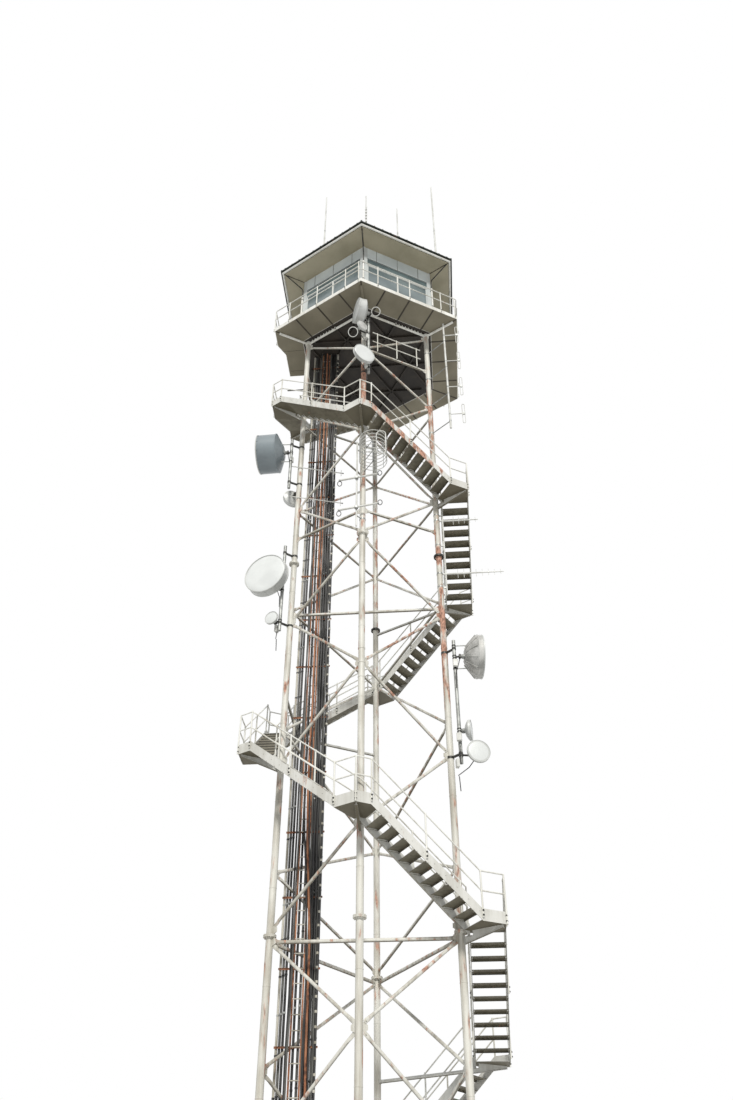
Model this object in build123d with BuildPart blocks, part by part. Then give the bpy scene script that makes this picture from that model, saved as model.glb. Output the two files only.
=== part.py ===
"""Fire lookout tower: a hexagonal cabin and gallery on four braced tubular legs.

The plan is a regular hexagon. Its vertices are numbered anticlockwise seen from above,
starting with vertex 0, which points along -Y. Legs stand at vertices 0, 1, 3 and 5.
A stair of straight flights winds clockwise up the outside, one flight to a side, with
a landing on every vertex. The origin is under the base plate of the leg at vertex 0.
"""

import os
from math import atan2, cos, degrees, pi, radians, sin, tan

from build123d import *

os.makedirs("parts", exist_ok=True)

# Plan, millimetres
leg_ring = 2330
stair_inner = 2200
stair_width = 750
floor_apothem = 2190
cabin_apothem = 2290
gallery_apothem = 3090
soffit_apothem = 2970

# Heights above the ground
joint_heights = (8000, 18000)
deck_top = 27800
wall_top = 30980

# Legs
leg_diameter = 160
leg_facets = 12
flange_diameter = 280
flange_thickness = 28
base_plate_side = 350
base_plate_thickness = 25
base_rib_height = 160
base_rib_thickness = 15
leg_vertices = (0, 1, 3, 5)

# Bracing
brace_diameter = 70
beam_diameter = 80
brace_facets = 6
gusset_thickness = 14
gusset_reach = 262
gusset_half_height = 200
tab_thickness = 12
tab_width = 56
tab_start = 165
tube_start = 292
joint_clearance = 110
near_node_spacing = 4000
near_top_node = 25750
near_head = 27400
front_beam_height = 18860
cross_beam_heights = (7880, 16250)
platform_height = 25750
rear_leg_nodes = (900, 5500, 9350, 12850, 16400, 19900, 23600)
rear_far_nodes = (3200, 8000, 11050, 16000, 20000, 24000)

# Stair
flight_rise = 2000
risers = 10
going = 250
last_flight_risers = 9
tread_thickness = 6
tread_lip = 36
tread_nosing = 30
stringer_thickness = 10
stringer_height = 245
stringer_above_nosing = 45
landing_plate = 8
outer_fascia_below = 20
inner_fascia_below = 105
arm_width = 60
arm_depth = 150
arm_tip_depth = 60
arm_diameter = 80

# Railings
rail_above_edge = 760
mid_rail_above_edge = 350
gallery_rail_height = 900
gallery_mid_rail = 460
post_below = 180
rail_diameter = 32
post_diameter = 38
rail_facets = 4
seat_gap = 0.3

# Gallery and cabin floor
deck_thickness = 40
soffit_thickness = 8
frame_depth = 150
fascia_thickness = 12
soffit_seam = 14
soffit_panels = 4
joist_width = 60
well_corner_length = 650
well_chamfer = 400
well_strip_width = 580
well_strip_end = 240
well_notch = 380

# Cabin walls
wall_thickness = 100
sill_height = 850
glazing_top = 2200
band_top = 2540
band_recess = 20
corner_post = 150
frame_bar = 50
frame_thickness = 60
glass_thickness = 8
door_width = 820
door_thickness = 45
door_side = 2

# Roof
soffit_board = 30
roof_pitch = 14
gutter_width = 105
gutter_height = 90
gutter_wall = 6
verge_overhang = 15
verge_height = 50
roof_cap_apothem = 280
downpipe_diameter = 60

# Cables and their ladder, inside the tower beside the leg at vertex 5
ladder_middle = (-1450, 1720)
ladder_width = 220
ladder_rail = 40
cross_bar_spacing = 1500
cross_bar_length = 900
cable_diameter = 55
cable_offsets = (-410, -345, -280, -60, 40, 180, 250, 320, 390)

# Aerials and dishes
pole_diameter = 90
aerial_diameter = 50
hub_diameter = 120
dish_facets = 24

# Derived sizes
half_hex = radians(30)
centre_y = leg_ring
slope = flight_rise / risers / going
riser = flight_rise / risers
stair_outer = stair_inner + stair_width
flight_run = (risers - 1) * going
flight_foot = -flight_run / 2
flight_head = flight_run / 2
last_head = flight_foot + (last_flight_risers - 1) * going
leg_radius = leg_diameter / 2
deck_bottom = deck_top - frame_depth
leg_top = deck_bottom
eaves_z = wall_top + soffit_board
verge_low = wall_top + gutter_height
verge_apothem = soffit_apothem + gutter_width + verge_overhang
verge_top = verge_low + verge_height
flight_count = int(deck_top // flight_rise) + 1
outer_rail_apothem = stair_outer + post_diameter / 2 + seat_gap
inner_rail_apothem = stair_inner - post_diameter / 2 - seat_gap
up = Vector(0, 0, 1)


def corner(vertex, radius, z=0):
    """Point at a distance from the hexagon's centre towards one of its vertices."""
    angle = radians(60 * vertex - 90)
    return Vector(radius * cos(angle), centre_y + radius * sin(angle), z)


def apothem_corner(vertex, apothem, z=0):
    """Corner of a hexagon that is given by the distance to its sides."""
    return corner(vertex, apothem / cos(half_hex), z)


def outward(side):
    """Horizontal direction out through a side, which lies between vertex n and n + 1."""
    angle = radians(60 * (side + 0.5) - 90)
    return Vector(cos(angle), sin(angle), 0)


def side_plane(side, z=0):
    """Frame at the hexagon's centre: +Y out through a side, +X the way the stair climbs."""
    return Plane(origin=(0, centre_y, z), x_dir=outward(side).cross(up), z_dir=(0, 0, 1))


def flat_points(points):
    """Plan coordinates of a list of points."""
    return [(p.X, p.Y) for p in points]


def leg_face(direction):
    """Distance from a leg's axis to its face in a level direction."""
    facet = 2 * pi / leg_facets
    turn = atan2(direction.Y, direction.X) % facet - facet / 2
    return leg_radius * cos(facet / 2) / cos(turn)


def from_leg(vertex, point):
    """Point on a leg's face, a seat gap off it, on the level line from its axis to another point."""
    axis = corner(vertex, leg_ring, point.Z)
    direction = (point - axis).normalized()
    return axis + direction * (leg_face(direction) + seat_gap)


def bar(start, end, width, facets=rail_facets, sideways=None):
    """Straight tube with few facets, one of them facing sideways, added to the part being built."""
    axis = end - start
    flat = sideways or up.cross(axis)
    with BuildSketch(Plane(origin=start, x_dir=flat, z_dir=axis)) as section:
        RegularPolygon(width / 2, facets, major_radius=False, rotation=180 / facets)
    extrude(section.sketch, amount=axis.length)


def plate(points, low, high):
    """Flat plate between two heights with the plan of a list of points, added to the part being built."""
    with BuildSketch(Plane((0, 0, low))) as outline:
        with BuildLine():
            Polyline(*flat_points(points), close=True)
        make_face()
    extrude(outline.sketch, amount=high - low)


def hexagon_slab(apothem, low, high, inner_apothem=0):
    """Hexagonal plate or ring around the tower's axis, added to the part being built."""
    with BuildSketch(Plane((0, centre_y, low))) as outline:
        RegularPolygon(apothem, 6, major_radius=False, rotation=30)
        if inner_apothem:
            RegularPolygon(inner_apothem, 6, major_radius=False, rotation=30, mode=Mode.SUBTRACT)
    extrude(outline.sketch, amount=high - low)


def radial_strip(vertex, width, near, far, low, height, mode=Mode.ADD):
    """Upright strip along the line from the tower's axis to a vertex, between two distances to the sides."""
    radial = corner(vertex, 1) - corner(vertex, 0)
    middle = apothem_corner(vertex, (near + far) / 2, low)
    with BuildSketch(Plane(origin=middle, x_dir=radial.cross(up), z_dir=up)) as strip:
        Rectangle(width, (far - near) / cos(half_hex) + frame_depth)
    extrude(strip.sketch, amount=height, mode=mode)


def export(piece, name):
    """Label a finished piece and write it."""
    piece.part.label = name
    export_step(piece.part, f"parts/{name}.step")


# Bracing layout: tubes from one leg to another, each end given by vertex and height
def near_members(vertex):
    """Zigzag between the leg at vertex 0 and a leg beside it."""
    heights = range(near_node_spacing // 2, near_top_node, near_node_spacing)
    members = []
    for height in heights:
        if height > near_node_spacing:
            members.append(((0, height), (vertex, height - flight_rise)))
        members.append(((0, height), (vertex, height + flight_rise)))
    members.append(((0, near_top_node), (vertex, heights[-1] + flight_rise)))
    members.append(((0, near_top_node), (vertex, near_head)))
    return members


def rear_members(vertex):
    """Zigzag between the leg at vertex 3 and a leg on one side."""
    members = []
    for low, far, high in zip(rear_leg_nodes, rear_far_nodes, rear_leg_nodes[1:]):
        members.append(((vertex, low), (3, far)))
        members.append(((3, far), (vertex, high)))
    return members


level_members = [((5, height), (1, height)) for height in cross_beam_heights]
level_members += [((vertex, cross_beam_heights[0]), (3, cross_beam_heights[0])) for vertex in (1, 5)]
level_members += [((0, front_beam_height), (vertex, front_beam_height)) for vertex in (1, 5)]
level_members += [((0, platform_height), (1, platform_height))]

bracing_sets = {
    "bracing_near_left": (near_members(5), brace_diameter),
    "bracing_near_right": (near_members(1), brace_diameter),
    "bracing_rear_left": (rear_members(5), brace_diameter),
    "bracing_rear_right": (rear_members(1), brace_diameter),
    "level_beams": (level_members, beam_diameter),
}


def seat_height(vertex, height, other_height):
    """Height at which a tube meets a leg: clear of a flange, on the side that the tube comes from."""
    for joint in joint_heights:
        if abs(height - joint) < joint_clearance:
            return joint + joint_clearance if other_height > height else joint - joint_clearance
    return height


def seated(first, second):
    """Both ends of a tube with their heights moved clear of the flanges."""
    return (
        (first[0], seat_height(*first, second[1])),
        (second[0], seat_height(*second, first[1])),
    )


def gusset_places(vertex, low, high):
    """Middle heights and far vertices of the gussets on one length of a leg."""
    places = set()
    for members, diameter in bracing_sets.values():
        for member in members:
            ends = seated(*member)
            for here, there in (ends, ends[::-1]):
                if here[0] == vertex and low < here[1] < high:
                    places.add((here[1], there[0]))
    return sorted(places)


# Legs, three lengths bolted together at flanges
def gusset(vertex, height, toward, low, high):
    """Plate welded to a leg in the plane of a brace, added to the part being built."""
    flat = (corner(toward, leg_ring) - corner(vertex, leg_ring)).normalized()
    bottom = max(height - gusset_half_height, low + flange_thickness)
    top = min(height + gusset_half_height, high - flange_thickness)
    face = Plane(origin=corner(vertex, leg_ring, bottom), x_dir=flat, z_dir=flat.cross(up))
    with BuildSketch(face) as outline:
        Rectangle(gusset_reach, top - bottom, align=(Align.MIN, Align.MIN))
    extrude(outline.sketch, amount=gusset_thickness / 2, both=True)


def leg_disc(vertex, low):
    """One flange disc, added to the part being built."""
    with BuildSketch(Plane(corner(vertex, leg_ring, low))) as ring:
        RegularPolygon(flange_diameter / 2, leg_facets)
    extrude(ring.sketch, amount=flange_thickness)


def leg_foot(vertex):
    """Base plate with crossed ribs, added to the part being built."""
    foot = corner(vertex, leg_ring)
    half = base_plate_side / 2
    with BuildSketch(Plane(foot)) as base:
        Rectangle(base_plate_side, base_plate_side)
    extrude(base.sketch, amount=base_plate_thickness)
    for along in (Vector(1, 0, 0), Vector(0, 1, 0)):
        with BuildSketch(Plane(origin=foot, x_dir=along, z_dir=along.cross(up))) as rib:
            with BuildLine():
                Polyline(
                    (-half, base_plate_thickness),
                    (half, base_plate_thickness),
                    (leg_radius, base_plate_thickness + base_rib_height),
                    (-leg_radius, base_plate_thickness + base_rib_height),
                    close=True,
                )
            make_face()
        extrude(rib.sketch, amount=base_rib_thickness / 2, both=True)


def leg_length(vertex, low, high):
    """One length of a leg with its end flanges, base plate and gussets."""
    with BuildPart() as length:
        with BuildSketch(Plane(corner(vertex, leg_ring, low))) as tube:
            RegularPolygon(leg_radius, leg_facets)
        extrude(tube.sketch, amount=high - low)
        if low:
            leg_disc(vertex, low)
        else:
            leg_foot(vertex)
        if high < leg_top:
            leg_disc(vertex, high - flange_thickness)
        for height, toward in gusset_places(vertex, low, high):
            gusset(vertex, height, toward, low, high)
    return length.part


leg_cuts = (0,) + joint_heights + (leg_top,)
for name, low, high in zip(("legs_lower", "legs_middle", "legs_upper"), leg_cuts, leg_cuts[1:]):
    with BuildPart() as legs:
        add([leg_length(vertex, low, high) for vertex in leg_vertices])
    export(legs, name)


# Braces and beams
def brace(first, second, diameter):
    """Tube whose flattened ends lie against the gussets of two legs."""
    start = corner(first[0], leg_ring, first[1])
    end = corner(second[0], leg_ring, second[1])
    run = end - start
    level = Vector(run.X, run.Y, 0)
    pitch = atan2(run.Z, level.length)
    direction = run.normalized()
    inset = tube_start / cos(pitch)
    tab_inset = tab_start / cos(pitch)
    tab_length = inset - tab_inset
    face = Plane(origin=start, x_dir=level, z_dir=level.cross(up))
    with BuildPart() as piece:
        with BuildSketch(Plane(origin=start + direction * inset, x_dir=level.cross(up), z_dir=direction)):
            RegularPolygon(diameter / 2, brace_facets)
        extrude(amount=run.length - 2 * inset)
        with BuildSketch(face.offset(gusset_thickness / 2)):
            for middle in (tab_inset + tab_length / 2, run.length - tab_inset - tab_length / 2):
                with Locations((middle * cos(pitch), middle * sin(pitch))):
                    Rectangle(tab_length, tab_width, rotation=degrees(pitch))
        extrude(amount=tab_thickness)
    return piece.part


crossing_braces = [
    seated(*member)
    for vertex in (1, 5)
    for member in near_members(vertex)
    if min(member[0][1], member[1][1]) < front_beam_height < max(member[0][1], member[1][1])
]
for name, (members, diameter) in bracing_sets.items():
    with BuildPart() as bracing:
        add([brace(*seated(*member), diameter) for member in members])
        if name == "level_beams":
            coping = [brace(*member, beam_diameter + 2 * seat_gap) for member in crossing_braces]
            add(coping, mode=Mode.SUBTRACT)
    export(bracing, name)


# Stair pieces, drawn once beside the origin of a side's frame
def flight_side(flight):
    """Side of the hexagon that a flight runs along, counting flights from the ground."""
    return (4 - flight) % 6


def flight_locations(flights):
    """Places of flights, at the height of their lower landing."""
    return [side_plane(flight_side(flight), flight * flight_rise).location for flight in flights]


def treads(count):
    """Folded plate treads of one flight."""
    with BuildPart() as steps:
        for step in range(1, count):
            front = flight_foot + (step - 1) * going - tread_nosing
            back = flight_foot + step * going - seat_gap
            top = step * riser
            with BuildSketch(Plane.XZ.offset(-stair_inner - stringer_thickness)) as profile:
                with BuildLine():
                    Polyline(
                        (front, top),
                        (back, top),
                        (back, top - tread_thickness),
                        (front + tread_thickness, top - tread_thickness),
                        (front + tread_thickness, top - tread_lip),
                        (front, top - tread_lip),
                        close=True,
                    )
                make_face()
            extrude(profile.sketch, amount=-(stair_width - 2 * stringer_thickness))
    return steps.part


def edge_height(along):
    """Height of a stringer's top edge above the lower landing."""
    return riser + (along - flight_foot) * slope + stringer_above_nosing


def stringer(apothem, foot, head, highest=None):
    """Sloping plate that carries one end of the treads, with upright ends.

    It can be cut off at a highest level, or stand on the ground by leaving out its foot.
    """
    if foot is None:
        return ground_stringer(apothem, head)
    points = [
        (foot, edge_height(foot) - stringer_height),
        (head, edge_height(head) - stringer_height),
        (head, edge_height(head)),
        (foot, edge_height(foot)),
    ]
    if highest:
        reach = head - (edge_height(head) - highest) / slope
        points[2:3] = [(head, highest), (reach, highest)]
    with BuildPart() as board:
        with BuildSketch(Plane.XZ.offset(-apothem)) as outline:
            with BuildLine():
                Polyline(*points, close=True)
            make_face()
        extrude(outline.sketch, amount=-stringer_thickness)
    return board.part


def ground_stringer(apothem, head):
    """Stringer of the first flight, cut off level at the ground."""
    reach = flight_foot + (stringer_height - riser - stringer_above_nosing) / slope
    with BuildPart() as board:
        with BuildSketch(Plane.XZ.offset(-apothem)) as outline:
            with BuildLine():
                Polyline(
                    (ground_foot, 0),
                    (reach, 0),
                    (head, edge_height(head) - stringer_height),
                    (head, edge_height(head)),
                    (ground_foot, edge_height(ground_foot)),
                    close=True,
                )
            make_face()
        extrude(outline.sketch, amount=-stringer_thickness)
    return board.part


def joint_ends(below):
    """Where a flight's stringers meet the edge plates of the landings before and after it.

    The edge plates reach a given depth below the landing, and are as deep as a stringer.
    """
    above = stringer_height - below
    foot = flight_foot - (riser + stringer_above_nosing - above) / slope
    head = flight_head + (above - stringer_above_nosing) / slope
    return foot, head


last_flight = flight_count - 1
turns = (range(0, 6), range(6, 12), range(12, last_flight))
last_location = side_plane(flight_side(last_flight), last_flight * flight_rise).location
last_rise = deck_top - last_flight * flight_rise
ground_foot = flight_foot - tread_nosing
stringer_lines = ((stair_inner, inner_fascia_below), (stair_outer - stringer_thickness, outer_fascia_below))

for turn, flights in enumerate(turns, start=1):
    with BuildPart() as turn_treads:
        with Locations(*flight_locations(flights)):
            add(treads(risers))
        if turn == 3:
            with Locations(last_location):
                add(treads(last_flight_risers))
    export(turn_treads, f"stair_treads_{turn}")

    with BuildPart() as turn_stringers:
        for apothem, below in stringer_lines:
            foot_end, head_end = joint_ends(below)
            with Locations(*flight_locations(flights[1:] if turn == 1 else flights)):
                add(stringer(apothem, foot_end, head_end))
            if turn == 1:
                with Locations(*flight_locations(flights[:1])):
                    add(stringer(apothem, None, head_end))
            if turn == 3:
                with Locations(last_location):
                    add(stringer(apothem, foot_end, last_head - seat_gap, last_rise))
    export(turn_stringers, f"stair_stringers_{turn}")


# Landings, trays with upstanding edges, one on each vertex at the head of a flight
def landing_plan(vertex, near, far, foot, head):
    """Plan of a strip round a landing's corner, between two distances from the centre.

    It starts at the head of the arriving flight and ends at the foot of the leaving one.
    """
    arriving = side_plane(vertex)
    leaving = side_plane(vertex - 1)
    return [
        arriving.from_local_coords(Vector(head, near, 0)),
        arriving.from_local_coords(Vector(head, far, 0)),
        apothem_corner(vertex, far),
        leaving.from_local_coords(Vector(foot, far, 0)),
        leaving.from_local_coords(Vector(foot, near, 0)),
        apothem_corner(vertex, near),
    ]


def landing(vertex, height):
    """Floor plate between upright edge plates, which are mitred at the corner."""
    inside = stair_inner + stringer_thickness + seat_gap
    outside = stair_outer - stringer_thickness - seat_gap
    with BuildPart() as tray:
        for apothem, below in stringer_lines:
            foot, head = joint_ends(below)
            edge = landing_plan(vertex, apothem, apothem + stringer_thickness, foot, head)
            plate(edge, height - below, height - below + stringer_height)
        mitre = 2 * seat_gap
        radial_strip(vertex, mitre, stair_inner, stair_outer, height - stringer_height, 2 * stringer_height, Mode.SUBTRACT)
        floor = landing_plan(vertex, inside, outside, flight_foot, flight_head)
        plate(floor, height - landing_plate, height)
    return tray.part


landing_places = [(flight_side(flight), (flight + 1) * flight_rise) for flight in range(last_flight)]
for turn, places in enumerate((landing_places[:6], landing_places[6:]), start=1):
    with BuildPart() as turn_landings:
        add([landing(vertex, height) for vertex, height in places])
    export(turn_landings, f"stair_landings_{turn}")


# Landing arms, from the legs to the underside of the edge plates
def cantilever(vertex, height, root):
    """Tapered arm out under the landing that stands on its vertex."""
    radial = (corner(vertex, 1) - corner(vertex, 0)).normalized()
    face = Plane(origin=corner(vertex, 0, height), x_dir=radial, z_dir=radial.cross(up))
    inside = (stair_inner + stringer_thickness) / cos(half_hex)
    outside = (stair_outer - stringer_thickness) / cos(half_hex)
    with BuildPart() as arm:
        with BuildSketch(face) as profile:
            with BuildLine():
                Polyline(
                    (root, -inner_fascia_below),
                    (inside + arm_width, -inner_fascia_below),
                    (inside + arm_width, -landing_plate),
                    (outside - arm_width, -landing_plate),
                    (outside - arm_width, -landing_plate - arm_tip_depth),
                    (root, -inner_fascia_below - arm_depth),
                    close=True,
                )
            make_face()
        extrude(profile.sketch, amount=arm_width / 2, both=True)
    return arm.part


def outrigger(vertex, height, neighbour):
    """Level tube from a leg to the root of the arm of a vertex that has no leg of its own."""
    level = height - inner_fascia_below - arm_depth / 2
    end = corner(vertex, leg_ring, level)
    start = from_leg(neighbour, end)
    along = (end - start).normalized()
    end_gap = (arm_width / 2 + arm_diameter / 2 * sin(half_hex) + seat_gap) / cos(half_hex)
    with BuildPart() as tube:
        bar(start, end - along * end_gap, arm_diameter)
    return tube.part


with BuildPart() as landing_arms:
    for vertex, height in landing_places:
        if vertex in leg_vertices:
            radial = corner(vertex, 1) - corner(vertex, 0)
            add(cantilever(vertex, height, leg_ring + leg_face(radial)))
        else:
            add(cantilever(vertex, height, leg_ring - arm_diameter))
            add(outrigger(vertex, height, vertex - 1))
            add(outrigger(vertex, height, vertex + 1))
export(landing_arms, "landing_arms")


# Stair railings
def flight_railing(apothem, foot, head, posts):
    """Two rails and their posts beside one flight, drawn beside the origin of its side."""
    across = Vector(0, 1, 0)
    with BuildPart() as panel:
        for level in (rail_above_edge, mid_rail_above_edge):
            first = Vector(foot, apothem, edge_height(foot) + level)
            last = Vector(head, apothem, edge_height(head) + level)
            bar(first, last, rail_diameter)
        for share in posts:
            along = foot + share * (head - foot)
            top = edge_height(along) + rail_above_edge
            low = edge_height(along) - post_below
            bar(Vector(along, apothem, low), Vector(along, apothem, top), post_diameter, sideways=across)
    return panel.part


def landing_post(vertex, height):
    """Post against the outer corner of a landing, between its rails."""
    radial = corner(vertex, 1) - corner(vertex, 0)
    distance = stair_outer / cos(half_hex) + seat_gap + post_diameter / 2
    top = height + stringer_height - outer_fascia_below + rail_above_edge + rail_diameter / 2
    with BuildPart() as post:
        bar(
            corner(vertex, distance, height - outer_fascia_below),
            corner(vertex, distance, top),
            post_diameter,
            sideways=radial.cross(up),
        )
    return post.part


def landing_rail(vertex, arriving, along, level, turn_level, apothem, end_gap):
    """Rail from the end post of a flight to the landing's corner, cut there beside the mitre."""
    frame_side = side_plane(vertex if arriving else vertex - 1, level)
    radial = (corner(vertex, 1) - corner(vertex, 0)).normalized()
    heading = 1 if arriving else -1
    start = frame_side.from_local_coords(Vector(along, apothem, 0))
    turn_point = apothem_corner(vertex, apothem, turn_level)
    past = turn_point + (turn_point - start).normalized() * rail_diameter
    away = radial.cross(up) * heading
    back = frame_side.x_dir * -heading
    with BuildPart() as rail:
        bar(start, past, rail_diameter)
        split(bisect_by=Plane(origin=turn_point - away * end_gap, z_dir=away), keep=Keep.BOTTOM)
        post_face = start - back * (post_diameter / 2 + seat_gap)
        split(bisect_by=Plane(origin=post_face, z_dir=back), keep=Keep.BOTTOM)
    return rail.part


rail_lines = {
    "outer": (outer_rail_apothem, *joint_ends(outer_fascia_below)),
    "inner": (inner_rail_apothem, flight_foot, flight_head),
}
whole_posts = (0, 0.5, 1)
short_head = flight_foot + (deck_bottom - last_flight * flight_rise - rail_above_edge - 2 * riser) / slope
last_posts = last_head - post_diameter
for side_name, (apothem, rail_foot, rail_head) in rail_lines.items():
    for turn, flights in enumerate(turns, start=1):
        with BuildPart() as railing:
            with Locations(*flight_locations(flights)):
                add(flight_railing(apothem, rail_foot, rail_head, whole_posts))
            if turn == 3:
                with Locations(last_location):
                    if side_name == "outer":
                        add(flight_railing(apothem, rail_foot, last_posts, whole_posts))
                    else:
                        add(flight_railing(apothem, rail_foot, short_head, (0, 1)))
        export(railing, f"flight_railings_{side_name}_{turn}")
    with BuildPart() as corners:
        end_gap = seat_gap
        if side_name == "outer":
            end_gap += post_diameter / 2
            add([landing_post(vertex, height) for vertex, height in landing_places])
        for vertex, height in landing_places:
            for rail_level in (rail_above_edge, mid_rail_above_edge):
                arrival = height - flight_rise + edge_height(rail_head) + rail_level
                departure = height + edge_height(rail_foot) + rail_level
                middle = (arrival + departure) / 2
                add(landing_rail(vertex, True, rail_head, arrival, middle, apothem, end_gap))
                add(landing_rail(vertex, False, rail_foot, departure, middle, apothem, end_gap))
    export(corners, f"landing_railings_{side_name}")


# Gallery: plan with a well where the stair arrives
well_side = side_plane(4)
arrival_side = side_plane(3)
well_start = well_corner_length - gallery_apothem * tan(half_hex)
beyond = gallery_apothem + frame_depth
well_strip = cabin_apothem + well_strip_width
well_outline = [
    well_side.from_local_coords(Vector(well_start, beyond, 0)),
    well_side.from_local_coords(Vector(well_start, gallery_apothem, 0)),
    well_side.from_local_coords(Vector(well_start + well_chamfer, well_strip, 0)),
    well_side.from_local_coords(Vector(well_strip_end, well_strip, 0)),
    well_side.from_local_coords(Vector(well_strip_end, cabin_apothem, 0)),
    apothem_corner(4, cabin_apothem),
    arrival_side.from_local_coords(Vector(last_head - well_notch, cabin_apothem, 0)),
    arrival_side.from_local_coords(Vector(last_head - well_notch, floor_apothem - frame_depth, 0)),
    arrival_side.from_local_coords(Vector(last_head, floor_apothem - frame_depth, 0)),
    arrival_side.from_local_coords(Vector(last_head, beyond, 0)),
    apothem_corner(4, beyond),
]


def gallery_plan(inset):
    """Plan of the gallery as a face, drawn in from its edges by an inset."""
    with BuildSketch(Plane((0, 0, 0))) as plan:
        with Locations((0, centre_y)):
            RegularPolygon(gallery_apothem, 6, major_radius=False, rotation=30)
            RegularPolygon(floor_apothem, 6, major_radius=False, rotation=30, mode=Mode.SUBTRACT)
        with BuildLine():
            Polyline(*flat_points(well_outline), close=True)
        make_face(mode=Mode.SUBTRACT)
        if inset:
            offset(amount=-inset, kind=Kind.INTERSECTION, mode=Mode.REPLACE)
    return plan.sketch


def gallery_layer(low, high, inset):
    """Layer of the gallery between two heights, added to the part being built."""
    extrude(gallery_plan(inset).moved(Location((0, 0, low))), amount=high - low)


seam_spacing = 2 * gallery_apothem * tan(half_hex) / soffit_panels
seam_places = [(side, (index - soffit_panels / 2) * seam_spacing) for side in range(6) for index in range(1, soffit_panels)]


def cross_strips(width, low, high, places):
    """Upright strips across the gallery, at places along its sides and at every corner."""
    with BuildPart() as strips:
        for side, along in places:
            with BuildSketch(side_plane(side, low)) as strip:
                with Locations((along, (floor_apothem + gallery_apothem) / 2)):
                    Rectangle(width, gallery_apothem - floor_apothem + 2 * frame_depth)
            extrude(strip.sketch, amount=high - low)
        for vertex in range(6):
            radial_strip(vertex, width, floor_apothem, gallery_apothem, low, high - low)
    return strips.part


soffit_top = deck_bottom + soffit_thickness
deck_joints = [(4, well_strip_end)]
with BuildPart() as gallery_deck:
    gallery_layer(deck_top - deck_thickness, deck_top, fascia_thickness)
    add(cross_strips(2 * seat_gap, deck_top - deck_thickness, deck_top, deck_joints), mode=Mode.SUBTRACT)
export(gallery_deck, "gallery_deck")

with BuildPart() as gallery_soffit:
    gallery_layer(deck_bottom, soffit_top, fascia_thickness)
    add(cross_strips(soffit_seam, deck_bottom, soffit_top, seam_places), mode=Mode.SUBTRACT)
export(gallery_soffit, "gallery_soffit")

with BuildPart() as gallery_joists:
    gallery_layer(soffit_top, deck_top - deck_thickness, fascia_thickness)
    add(cross_strips(joist_width, soffit_top, deck_top - deck_thickness, seam_places), mode=Mode.INTERSECT)
export(gallery_joists, "gallery_joists")

with BuildPart() as gallery_fascia:
    gallery_layer(deck_bottom, deck_top, 0)
    extrude(gallery_plan(fascia_thickness).moved(Location((0, 0, deck_bottom))), amount=frame_depth, mode=Mode.SUBTRACT)
    add(cross_strips(2 * seat_gap, deck_bottom, deck_top, deck_joints), mode=Mode.SUBTRACT)
export(gallery_fascia, "gallery_fascia")

with BuildPart() as cabin_floor:
    hexagon_slab(floor_apothem, deck_bottom, deck_top)
export(cabin_floor, "cabin_floor")


# Tubes under the gallery: between the leg tops, and out to the gallery's corners
with BuildPart() as gallery_supports:
    level = deck_bottom - beam_diameter / 2
    for vertex in (1, 5):
        start = from_leg(0, corner(vertex, leg_ring, level))
        end = from_leg(vertex, corner(0, leg_ring, level))
        bar(start, end, beam_diameter)
    for vertex in leg_vertices:
        tip = apothem_corner(vertex, gallery_apothem - frame_depth, level)
        bar(from_leg(vertex, tip), tip, beam_diameter)
export(gallery_supports, "gallery_supports")


# Gallery railing
def fence(first, last, posts, low):
    """Two rails along one stretch of the gallery's edge, with posts at shares of its length."""
    along = last - first
    with BuildPart() as panel:
        for level in (gallery_rail_height, gallery_mid_rail):
            bar(first + up * level, last + up * level, rail_diameter)
        for share in posts:
            foot = first + along * share
            bar(foot + up * low, foot + up * gallery_rail_height, post_diameter, sideways=up.cross(along))
    return panel.part


fence_apothem = gallery_apothem + post_diameter / 2 + seat_gap
half_fence = fence_apothem * tan(half_hex)
corner_gap = rail_diameter / 2
long_posts = (0.02, 0.17, 0.5, 0.83)
with BuildPart() as gallery_railing:
    for side in (0, 1, 2, 5):
        frame_side = side_plane(side, deck_top)
        first = frame_side.from_local_coords(Vector(corner_gap - half_fence, fence_apothem, 0))
        last = frame_side.from_local_coords(Vector(half_fence - corner_gap, fence_apothem, 0))
        add(fence(first, last, long_posts, -frame_depth))
    edge = side_plane(4, deck_top)
    first = edge.from_local_coords(Vector(corner_gap - half_fence, fence_apothem, 0))
    last = edge.from_local_coords(Vector(well_start - corner_gap, fence_apothem, 0))
    add(fence(first, last, (0.05, 0.95), -frame_depth))
    inside = well_strip - fascia_thickness
    first = edge.from_local_coords(Vector(well_start + well_chamfer, inside, 0))
    last = edge.from_local_coords(Vector(well_strip_end - fascia_thickness, inside, 0))
    add(fence(first, last, (0.05, 0.95), 0))
    edge = side_plane(3, deck_top)
    first = edge.from_local_coords(Vector(last_head + post_diameter, fence_apothem, 0))
    last = edge.from_local_coords(Vector(half_fence - corner_gap, fence_apothem, 0))
    add(fence(first, last, (0.05, 0.95), -frame_depth))
export(gallery_railing, "gallery_railing")


# Platform between the legs beside the stair's last landings
with BuildPart() as platform_railing:
    beyond_beam = outward(0) * (beam_diameter / 2 + post_diameter / 2 + seat_gap)
    start = corner(0, leg_ring, platform_height) + beyond_beam
    end = corner(1, leg_ring, platform_height) + beyond_beam
    direction = (end - start).normalized()
    add(fence(start + direction * tube_start, end - direction * tube_start, (0.1, 0.5, 0.92), -beam_diameter / 2))
export(platform_railing, "platform_railing")


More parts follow.
